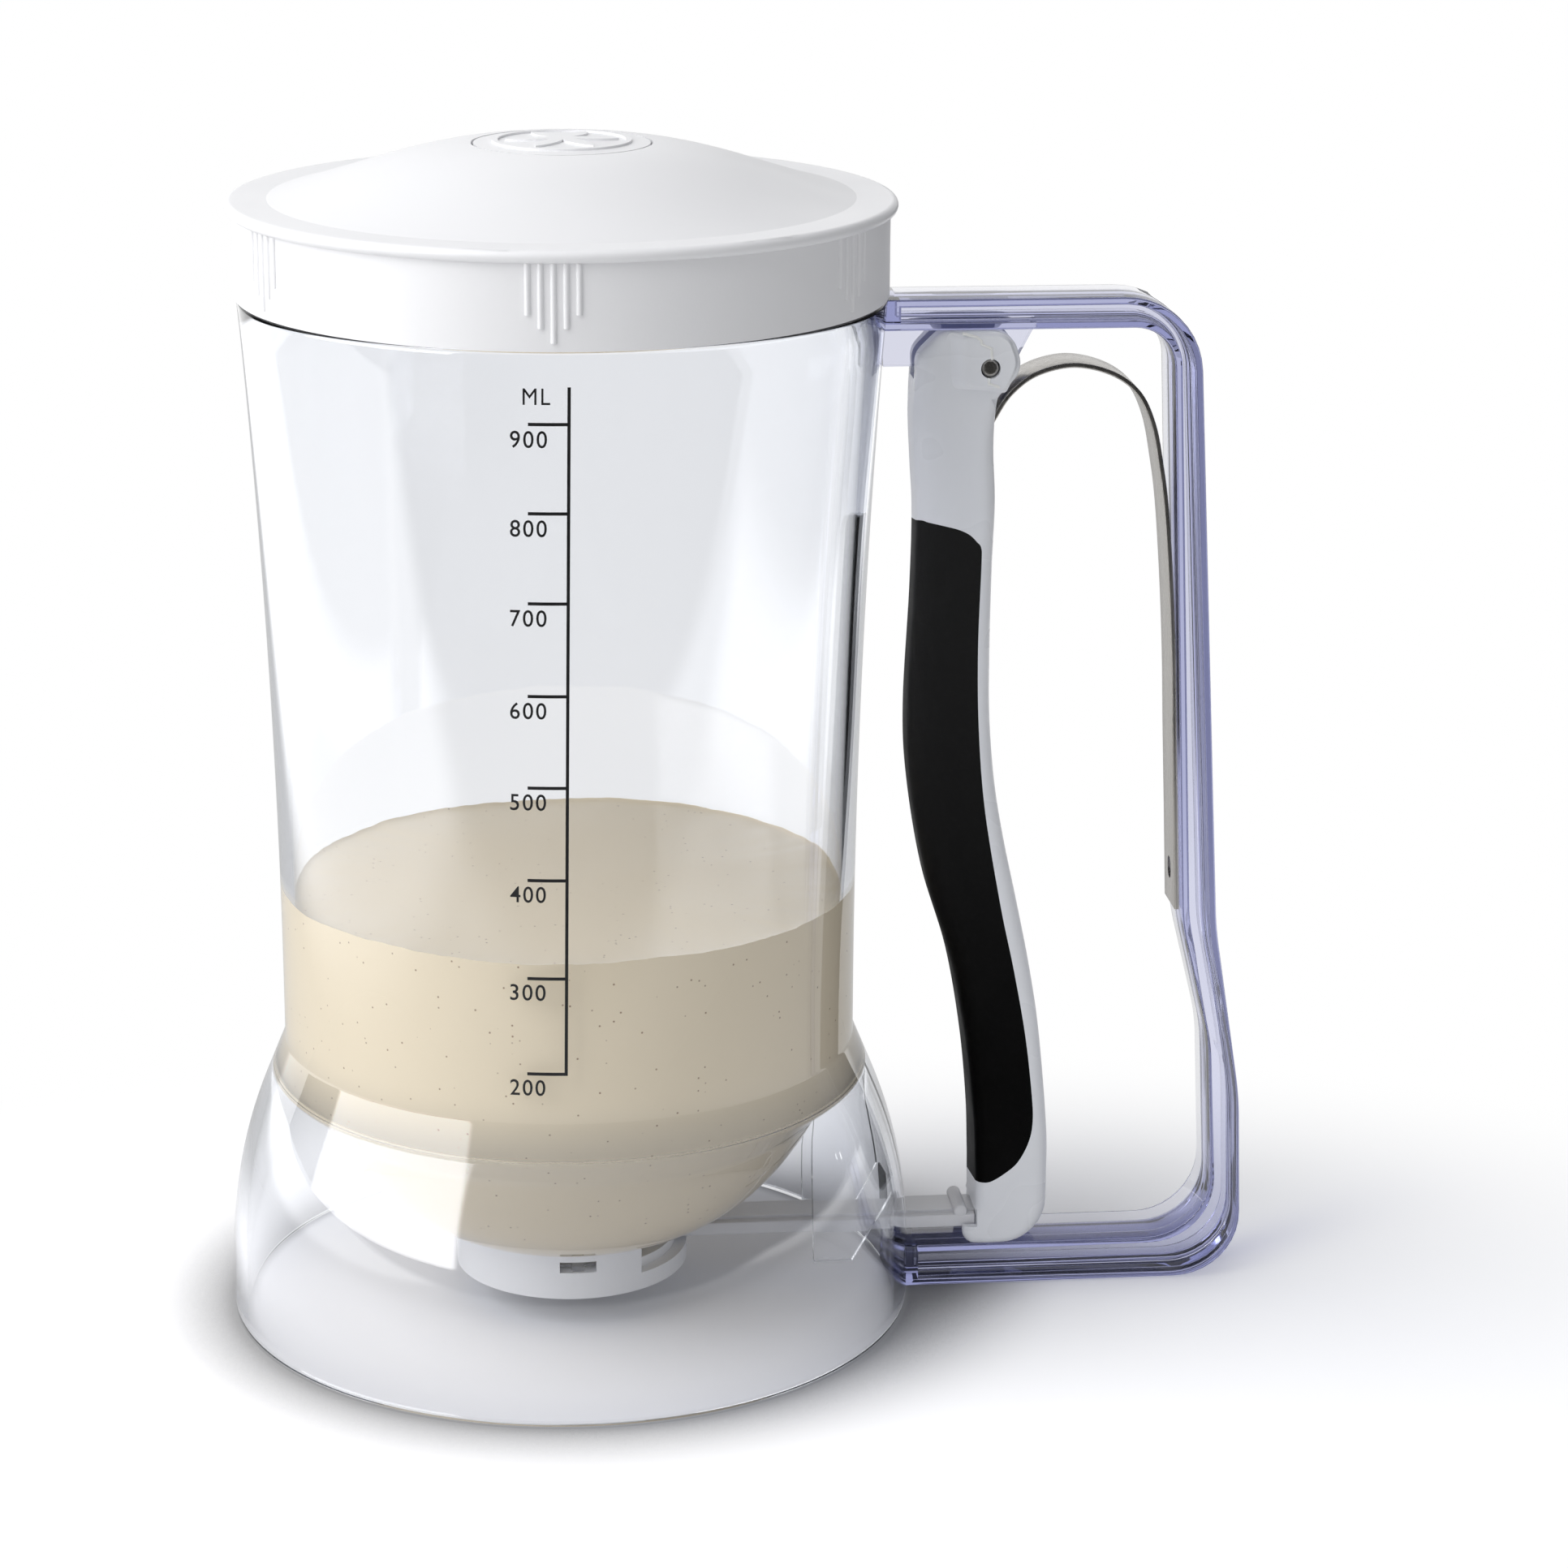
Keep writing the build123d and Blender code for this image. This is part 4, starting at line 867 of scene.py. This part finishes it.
def head_boss(steps=6):
    """Raised field round the pin, with soft edges."""
    foot, face = rounded(BOSS_FOOT, 8), rounded(BOSS_FACE, 8)
    rings = [[(x, BOSS_ROOT_Y, z) for x, z in foot]]
    for k in range(steps + 1):
        t = k / steps
        y = BOSS_LOW_Y - BOSS_RISE * ramp(t, 0, 1)
        pairs = zip(foot, face)
        rings.append([(a[0] + (b[0] - a[0]) * t, y, a[1] + (b[1] - a[1]) * t) for a, b in pairs])
    mx, mz = BOSS_MIDDLE
    rings.append([(mx + (x - mx) * BOSS_FLAT, y, mz + (z - mz) * BOSS_FLAT) for x, z in face])
    return loft(rings)


def ribbon(line, y, width, thick):
    """Raised line on a face that looks to the front, along (x, z) points."""
    section = [(-1, 0.0), (-0.5, 1.0), (0.5, 1.0), (1, 0.0)]
    rings = []
    for p, normal in zip(line, along(line)):
        s = normal * width / 2
        rings.append([(p[0] + s.x * a, y - thick * b, p[1] + s.y * a) for a, b in section])
    return loft(rings)


def rear_strip():
    """Outline of the zone that the lever's rear cover takes."""
    rear = [p for p in smooth(LEVER_REAR) if COVER_LOW_Z <= p[1] <= COVER_TOP_Z]
    runs = [Vector(b) - Vector(a) for a, b in zip(rear, rear[1:])]
    sides = [Vector((run.y, -run.x)).normalized() for run in [*runs, runs[-1]]]
    inner = [(p[0] - side.x * COVER_IN, p[1] - side.y * COVER_IN) for p, side in zip(rear, sides)]
    outer = [(p[0] + COVER_OUT, p[1]) for p in rear]
    return outer + inner[::-1]


def sheared(outline, half, fall):
    """Prism of an outline that falls with its distance behind the lever's face."""
    ends = ((half, -fall * (half + LEVER_HALF)), (-half, fall * (half - LEVER_HALF)))
    return loft([[(x, y, z + drop) for x, z in outline] for y, drop in ends])


def copy_of(obj, name):
    """Copy of an object with a mesh of its own."""
    twin = bpy.data.objects.new(name, obj.data.copy())
    bpy.context.collection.objects.link(twin)
    return twin


def finish_part(obj, mat, slot, *nodes, body="lever", smooth_to=38):
    """Smooth a boolean's result and let it stand for its nodes."""
    tidy_mesh(obj.data, smooth_to)
    obj.data.materials.clear()
    obj.data.materials.append(mat)
    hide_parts(*nodes)
    if body:
        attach(obj, body)


def make_lever():
    """Lever parted into white shell, rear cover and black grip."""
    outline = lever_outline()
    shell = make_object("lever_body", *pillow(outline, *lever_edges(outline), LEVER_HALF), None)
    combine(shell, [temp(head_boss())], "UNION")
    wide, rod_half = 2 * LEVER_HALF, ROD_HALF + ROD_PLAY
    slot_x0, slot_x1, slot_half, slot_z = HOOK_SLOT
    cuts = [
        prism(CLEVIS, -CLEVIS_HALF, CLEVIS_HALF),
        prism(arc((PIN_X, PIN_Z), PIN_R + PIN_PLAY, 0, 350, 35), -wide, wide),
        block(FRONT_X, NOTCH_X, -wide, wide, NOTCH_LOW_Z, NOTCH_TOP_Z),
        block(FRONT_X, NOTCH_X, -rod_half, rod_half, NOTCH_LIP_Z, NOTCH_TOP_Z - 0.5),
        block(FRONT_X, slot_x0 + 1, -TONGUE_ROOM, TONGUE_ROOM, 0, NOTCH_TOP_Z - 0.2),
        block(slot_x0, slot_x1, -slot_half, slot_half, 0, slot_z),
        prism(NICK, -wide, NICK_Y),
    ]
    combine(shell, [temp(cut) for cut in cuts], "DIFFERENCE")
    cover, grip = copy_of(shell, "lever_rear"), copy_of(shell, "lever_soft_grip")
    zone = sheared([*smooth(GRIP_EDGE, 6), *GRIP_FRONT], wide, GRIP_FALL)
    strip = prism(rear_strip(), -wide, wide)
    combine(shell, [temp(zone), temp(strip)], "DIFFERENCE")
    combine(cover, [temp(strip)], "INTERSECT")
    combine(grip, [temp(zone)], "INTERSECT")
    finish_part(shell, LEVER_WHITE, "lever_plastic", "lever_shell", smooth_to=15)
    finish_part(cover, LEVER_WHITE, "lever_plastic", "lever_cover")
    finish_part(grip, GRIP, "black_grip", "lever_grip")
    seam_y = BOSS_LOW_Y - BOSS_RISE + 0.02
    # The parting lines carry a painted highlight: their paler colour stands in for the light on
    # each ridge
    for name, line in (("parting_line_top", PARTING_TOP), ("parting_line_low", PARTING_LOW)):
        seam = make_object(name, *ribbon(line, seam_y, PARTING_W, PARTING_T), SEAM_PAINTED_HIGHLIGHT, "lever")


def bar_section(half, low, high, edge):
    """Rectangle with rounded corners."""
    corners = ((-half, low), (half, low), (half, high), (-half, high))
    return rounded([(*corner, edge) for corner in corners], 3)


def make_gate():
    """Sliding gate with its flat rod, the cross rib and the hook in the lever's toe."""
    low, high = GATE_Z
    disc = [(GATE_R, low + 0.2), (GATE_R, high - 0.2), (GATE_R - 0.2, high)]
    disc += [(0.01, high), (0.01, low), (GATE_R - 0.2, low)]
    gate = make_object("gate_plate", *lathe(disc, DISC_SEGMENTS), None)
    rod = pierce(bar_section(ROD_HALF, *ROD_Z, ROD_EDGE), ROD_END_X, GATE_R / 2)
    h, r = ROD_HALF, RIB_R
    rows = ((-h, r - 0.3), (-h + 0.1, r - 0.1), (-h + 0.3, r), (h - 0.3, r), (h, r - 0.3))
    rib = [[(x, y, z) for x, z in arc((RIB_X, RIB_Z), size, 0, 350, 35)] for y, size in rows]
    hook_x, hook_end, hook_half = HOOK
    tongue = block(GATE_R, hook_end, -TONGUE_HALF, TONGUE_HALF, low, high)
    hook = block(hook_x, hook_end, -hook_half, hook_half, low, high)
    combine(gate, [temp(shape) for shape in (rod, loft(rib), tongue, hook)], "UNION")
    finish_part(gate, GREY, "grey_plastic", "gate_slide", body="gate")


def make_pin():
    """Pivot pin with a bevelled end a little below the boss."""
    r, y0, y1 = PIN_SHAFT_R, *PIN_ENDS
    rows = [(0.02, y0 - 0.03), (r * 0.5, y0 - 0.025), (r - 0.4, y0), (r - 0.1, y0 + 0.1)]
    rows += [(r, y0 + 0.28), (r, y1 - 0.3), (r - 0.3, y1), (0.02, y1)]
    rings = []
    for radius, y in rows:
        rings.append([(x, y, z) for x, z in arc((PIN_X, PIN_Z), radius, 0, 352.5, 47)])
    pin = make_object("pivot_pin_turned", *loft(rings), STEEL, "lever", 50)
    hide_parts("pivot_pin")


def make_spring():
    """Leaf spring that lies on the handle and arches over to the lever."""
    line = smooth(SPRING_LINE, 10)
    section = bar_section(SPRING_HALF, -SPRING_T / 2, SPRING_T / 2, SPRING_EDGE)
    rings = []
    for p, s in zip(line, along(line)):
        rings.append([(p[0] + s.x * b, a, p[1] + s.y * b) for a, b in section])
    spring = make_object("leaf_spring_bent", *loft(rings), None)
    z0, z1, r = SPRING_SLOT
    hole = arc((0, z1 - r), r, 0, 180, 12) + arc((0, z0 + r), r, 180, 360, 12)
    combine(spring, [temp(pierce(hole, *SLOT_X))], "DIFFERENCE")
    finish_part(spring, STEEL, "steel", "leaf_spring", body=None, smooth_to=40)
    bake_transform(spring)


# ------------------------------------------------------------------ batter and print


def make_batter():
    """Batter that wets the jug's inside, with a slightly uneven edge."""
    inside = bowl_inside(-BATTER_WET)
    side_r = BODY_IN_R + BATTER_WET
    floor_z, top_z = inside[0][1] - 1.0, BATTER_Z - 0.5
    wet = [(OUTLET_R, floor_z), *inside[1:-1], *[(side_r, z) for z in BATTER_SIDE_Z]]
    rim = [(side_r - inset, drop) for inset, drop in BATTER_RIM]
    points, faces = [], []
    for i in range(SEGMENTS):
        a = math.tau * i / SEGMENTS
        c, s = math.cos(a), math.sin(a)
        wave = 0
        for rate, high in BATTER_WAVES:
            wave += high * noise.noise(Vector((rate * c, rate * s, rate)))
        points += [(r * c, r * s, z) for r, z in wet]
        points += [(r * c, r * s, BATTER_Z + drop + wave) for r, drop in rim]
        for r in BATTER_TOP_R:
            spot = Vector((SWELL_RATE * r * c, SWELL_RATE * r * s, 1.7))
            swell = BATTER_SWELL * noise.noise(spot)
            points.append((r * c, r * s, top_z + swell + wave * (r / side_r) ** 6))
    row = len(wet) + len(rim) + len(BATTER_TOP_R)
    points += [(0, 0, floor_z), (0, 0, top_z)]
    low, high = len(points) - 2, len(points) - 1
    for i in range(SEGMENTS):
        here, there = i * row, (i + 1) % SEGMENTS * row
        for k in range(row - 1):
            faces.append((here + k, there + k, there + k + 1, here + k + 1))
        faces += [(low, there, here), (high, here + row - 1, there + row - 1)]
    batter = make_object("batter", points, faces, BATTER, "jug", 60)
    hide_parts("batter_fill")


def wall_r(z):
    """Outside radius of the jug's wall at a height."""
    return BODY_R if z <= FLARE_Z else flare_r((BODY_R, FLARE_Z), (BODY_TOP_R, SHOULDER_Z), z)


def on_wall(x, z, lift):
    """Point on the jug's wall, x millimetres along it to the right of the scale's line."""
    r = wall_r(z) + lift
    lean = SCALE_LEAN * (z - SCALE_MIDDLE_Z)
    a = -math.pi / 2 + SCALE_AZIMUTH + (x + lean) / wall_r(z)
    return r * math.cos(a), r * math.sin(a), z


def ink_bar(x0, x1, z0, z1, across, up):
    """Thin printed bar that follows the wall."""
    points, faces = [], []
    for lift in (INK_LIFT, INK_LIFT + INK_T):
        for j in range(up + 1):
            z = z0 + (z1 - z0) * j / up
            points += [on_wall(x0 + (x1 - x0) * i / across, z, lift) for i in range(across + 1)]
    w, size = across + 1, (across + 1) * (up + 1)
    for j in range(up):
        for k in range(j * w, j * w + across):
            low = (k, k + w, k + w + 1, k + 1)
            faces += [low, tuple(size + i for i in (low[0], low[3], low[2], low[1]))]
    edge = [*range(w), *[j * w + across for j in range(1, up + 1)]]
    edge += [*range(up * w + across - 1, up * w - 1, -1), *[j * w for j in range(up - 1, 0, -1)]]
    for a, b in zip(edge, edge[1:] + edge[:1]):
        faces.append((a, b, size + b, size + a))
    return points, faces


def ink_text(text, x0, x1, z0, z1, bolder=0.0):
    """Printed characters fitted between two x and two heights."""
    curve = bpy.data.curves.new("text", "FONT")
    curve.body = text
    curve.resolution_u = 4
    curve.space_character = 1.15
    curve.extrude = 0.5
    curve.offset = bolder
    holder = bpy.data.objects.new("text", curve)
    bpy.context.collection.objects.link(holder)
    graph = bpy.context.evaluated_depsgraph_get()
    mesh = bpy.data.meshes.new_from_object(holder.evaluated_get(graph))
    xs = [v.co.x for v in mesh.vertices]
    ys = [v.co.y for v in mesh.vertices]
    points = []
    for v in mesh.vertices:
        x = x0 + (x1 - x0) * (v.co.x - min(xs)) / (max(xs) - min(xs))
        z = z0 + (z1 - z0) * (v.co.y - min(ys)) / (max(ys) - min(ys))
        points.append(on_wall(x, z, INK_LIFT + INK_T * (v.co.z > 0)))
    faces = [tuple(p.vertices) for p in mesh.polygons]
    bpy.data.objects.remove(holder)
    bpy.data.meshes.remove(mesh)
    return points, faces


def make_scale():
    """Upright line, ticks, numbers and unit."""
    half = SCALE_LINE_W / 2
    shapes = [ink_bar(-half, half, SCALE_TICKS[200] - half, SCALE_TOP_Z, 1, 40)]
    for value, z in SCALE_TICKS.items():
        shapes.append(ink_bar(-SCALE_TICK_L, -half, z - half, z + half, 4, 1))
        box = (*NUMBER_X, z + NUMBER_Z[0], z + NUMBER_Z[1])
        shapes.append(ink_text(str(value), *box, NUMBER_BOLD))
    shapes.append(ink_text("ML", *UNIT_BOX))
    points, faces = [], []
    for part_points, part_faces in shapes:
        start = len(points)
        points += part_points
        faces += [tuple(start + k for k in face) for face in part_faces]
    scale = make_object("scale_print", points, faces, INK, "jug")
    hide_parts("scale_marks")


# ------------------------------------------------------------------ nodes that keep their CAD shape


def dress(node, mat):
    """Give a CAD node its material."""
    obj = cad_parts[node]
    obj.data.materials.clear()
    obj.data.materials.append(mat)


def dress_nodes():
    """Materials for the nodes whose shapes stay."""
    for node in ("lid_shell", "lid_badge"):
        dress(node, WHITE)
    # Painted light: the valve ring gets the brighter white that offsets its shade under the skirt
    dress("valve_ring", RING_WHITE_PAINTED_LIGHT)
    dress("pin_retainer", STEEL)
    dress("outlet_seal", SILICONE)


# ------------------------------------------------------------------ stage


def make_camera():
    """Camera at the photograph's viewing angle."""
    data = bpy.data.cameras.new("camera")
    data.sensor_width, data.lens = CAMERA_SENSOR, CAMERA_LENS
    camera = bpy.data.objects.new("camera", data)
    axes = Matrix((CAMERA_RIGHT, CAMERA_UP, -Vector(CAMERA_AHEAD)))
    camera.matrix_world = Matrix.Translation(CAMERA_PLACE) @ axes.transposed().to_4x4()
    bpy.context.collection.objects.link(camera)
    bpy.context.scene.camera = camera


def make_key():
    """Soft key lamp, which shows in no reflection."""
    data = bpy.data.lights.new("key", "AREA")
    data.shape = "RECTANGLE"
    data.size, data.size_y = KEY_SIZE
    data.energy = KEY_POWER
    a, e, away = math.radians(KEY_AZIMUTH), math.radians(KEY_ELEVATION), KEY_DISTANCE
    x, y = away * math.cos(e) * math.cos(a), away * math.cos(e) * math.sin(a)
    place = Vector((x, y, MIDDLE_Z + away * math.sin(e)))
    lamp = bpy.data.objects.new("key", data)
    lamp.location = place
    lamp.rotation_euler = (Vector((0, 0, MIDDLE_Z)) - place).to_track_quat("-Z", "Y").to_euler()
    bpy.context.collection.objects.link(lamp)
    lamp.visible_glossy = False
    lamp.visible_transmission = False


def is_shown(tree):
    """1 for rays that show the surroundings: seen, mirrored or through clear parts."""
    path = tree.nodes.new("ShaderNodeLightPath")
    either = maths(tree, "MAXIMUM", path.outputs["Is Camera Ray"], path.outputs["Is Glossy Ray"])
    return maths(tree, "MAXIMUM", either, path.outputs["Is Transmission Ray"])


def is_mirrored(tree):
    """1 for rays that a surface has mirrored at least once."""
    path = tree.nodes.new("ShaderNodeLightPath")
    return maths(tree, "MINIMUM", path.outputs["Glossy Depth"], 1.0)


def shown_level(tree, studio):
    """White where it is looked at, the studio's own level in mirrored rays."""
    inputs = (is_mirrored(tree), None, 1.0, studio)
    return new_node(tree, "ShaderNodeMix", *inputs, data_type="FLOAT").outputs[0]


def softbox(tree, direction):
    """1 in directions that look into the softbox on the left."""
    a = math.radians(SOFTBOX_AZIMUTH)
    axes = ((math.cos(a), math.sin(a), 0), (-math.sin(a), math.cos(a), 0))
    ahead, across = [
        vector_maths(tree, "DOT_PRODUCT", direction, axis, output="Value") for axis in axes
    ]
    ahead = maths(tree, "MAXIMUM", ahead, 0.01)
    wide = maths(tree, "ABSOLUTE", maths(tree, "DIVIDE", across, ahead))
    tall = maths(tree, "DIVIDE", axis_of(tree, direction, "Z"), ahead)
    sides = step(tree, wide, SOFTBOX_SIDE, 1.0, 0.0)
    return maths(tree, "MULTIPLY", sides, step(tree, tall, SOFTBOX_TOP, 1.0, 0.0))


def make_world():
    """White background for what is seen, and a plain grey fill for what lights."""
    world = bpy.data.worlds.new("world")
    bpy.context.scene.world = world
    world.use_nodes = True
    tree = world.node_tree
    tree.nodes.clear()
    direction = tree.nodes.new("ShaderNodeTexCoord").outputs["Generated"]
    sweep = step(tree, axis_of(tree, direction, "Y"), SWEEP_EDGE, ROOM_LEVEL, SWEEP_LEVEL)
    lit = maths(tree, "MULTIPLY", softbox(tree, direction), SOFTBOX_LEVEL)
    studio = shown_level(tree, maths(tree, "ADD", sweep, lit))
    shown = new_node(tree, "ShaderNodeBackground", (1, 1, 1, 1), studio).outputs[0]
    fill = new_node(tree, "ShaderNodeBackground", (0.97, 0.98, 1.0, 1), FILL_LEVEL).outputs[0]
    mix = new_node(tree, "ShaderNodeMixShader", is_shown(tree), fill, shown)
    new_node(tree, "ShaderNodeOutputWorld", mix.outputs[0])


def floor_tone(tree, place):
    """Tone of the floor where it is looked at, with a painted shadow that darkens it where it
    touches the skirt.
    """
    distance = vector_maths(tree, "LENGTH", place, output="Value")
    # Painted shadow: how deep it may go is set by the distance from the middle, and ambient
    # occlusion near the skirt draws it in
    inner = step(tree, distance, INNER_EDGE, INNER_DARK, CONTACT_DARK)
    outer = step(tree, distance, OUTER_EDGE, 0.0, OUTER_DARK - CONTACT_DARK)
    painted_shadow_depth = maths(tree, "ADD", inner, outer)
    white = (1, 1, 1, 1)
    openness = new_node(tree, "ShaderNodeAmbientOcclusion", white, CONTACT_REACH).outputs["AO"]
    pale = step(tree, openness, CONTACT_SPREAD, painted_shadow_depth, 1.0)
    channels = [maths(tree, "MULTIPLY", pale, channel) for channel in FLOOR_TONE]
    return new_node(tree, "ShaderNodeCombineColor", *channels).outputs[0]


def table_level(tree, place):
    """Brightness of the table that mirrors show in the floor's place, a glow painted in for the
    light on it.
    """

    def edge(axis, at, soft, low, high):
        return step(tree, axis_of(tree, place, axis), (at - soft, at + soft), low, high)

    front = edge("Y", TABLE_FRONT_Y, TABLE_SOFT_Y, 0.0, 1.0)
    right = edge("X", TABLE_RIGHT_X, TABLE_SOFT_X, 1.0, 0.0)
    left = edge("X", TABLE_LEFT_X, TABLE_SOFT_X, TABLE_LEFT_LEVEL, TABLE_LEVEL)
    far = edge("X", TABLE_FAR_X, TABLE_SOFT_X, 0.0, TABLE_FAR_LEVEL - TABLE_LEVEL)
    table, level = maths(tree, "MULTIPLY", front, right), maths(tree, "ADD", left, far)
    return maths(tree, "ADD", maths(tree, "MULTIPLY", table, level), ROOM_LEVEL)


def make_floor():
    """Pale floor that shows the shadow, with a painted shadow near the skirt and a painted table
    glow in mirrors, and fades into the white background.
    """
    mat = bpy.data.materials.new("floor")
    mat.use_nodes = True
    tree = mat.node_tree
    tree.nodes.clear()
    place = place_of(tree)
    diffuse = new_node(tree, "ShaderNodeBsdfDiffuse", FLOOR_PALE).outputs[0]
    looked_at = new_node(tree, "ShaderNodeBsdfDiffuse", floor_tone(tree, place)).outputs[0]
    studio = shown_level(tree, table_level(tree, place))
    # Painted glow: in mirrored rays the floor glows at the table's painted levels; where looked at
    # it is plain white
    white = new_node(tree, "ShaderNodeEmission", (1, 1, 1, 1), studio).outputs[0]
    shifted = vector_maths(tree, "ADD", place, FADE_SHIFT)
    squashed = vector_maths(tree, "MULTIPLY", shifted, FADE_SQUASH)
    reach = vector_maths(tree, "LENGTH", squashed, output="Value")
    fade = step(tree, reach, FADE_EDGE, 0.0, 1.0)
    shown = new_node(tree, "ShaderNodeMixShader", fade, looked_at, white).outputs[0]
    final = new_node(tree, "ShaderNodeMixShader", is_shown(tree), diffuse, shown)
    new_node(tree, "ShaderNodeOutputMaterial", final.outputs[0])
    half = FLOOR_HALF
    corners = [(-half, -half, 0), (half, -half, 0), (half, half, 0), (-half, half, 0)]
    floor = make_object("floor", corners, [(0, 1, 2, 3)], mat)
    floor.location.z = -FLOOR_DROP


make_jug()
make_handle()
make_lever()
make_pin()
make_gate()
make_spring()
make_batter()
make_scale()
dress_nodes()
make_camera()
make_world()
make_floor()
make_key()
bpy.context.scene.view_settings.view_transform = "Standard"
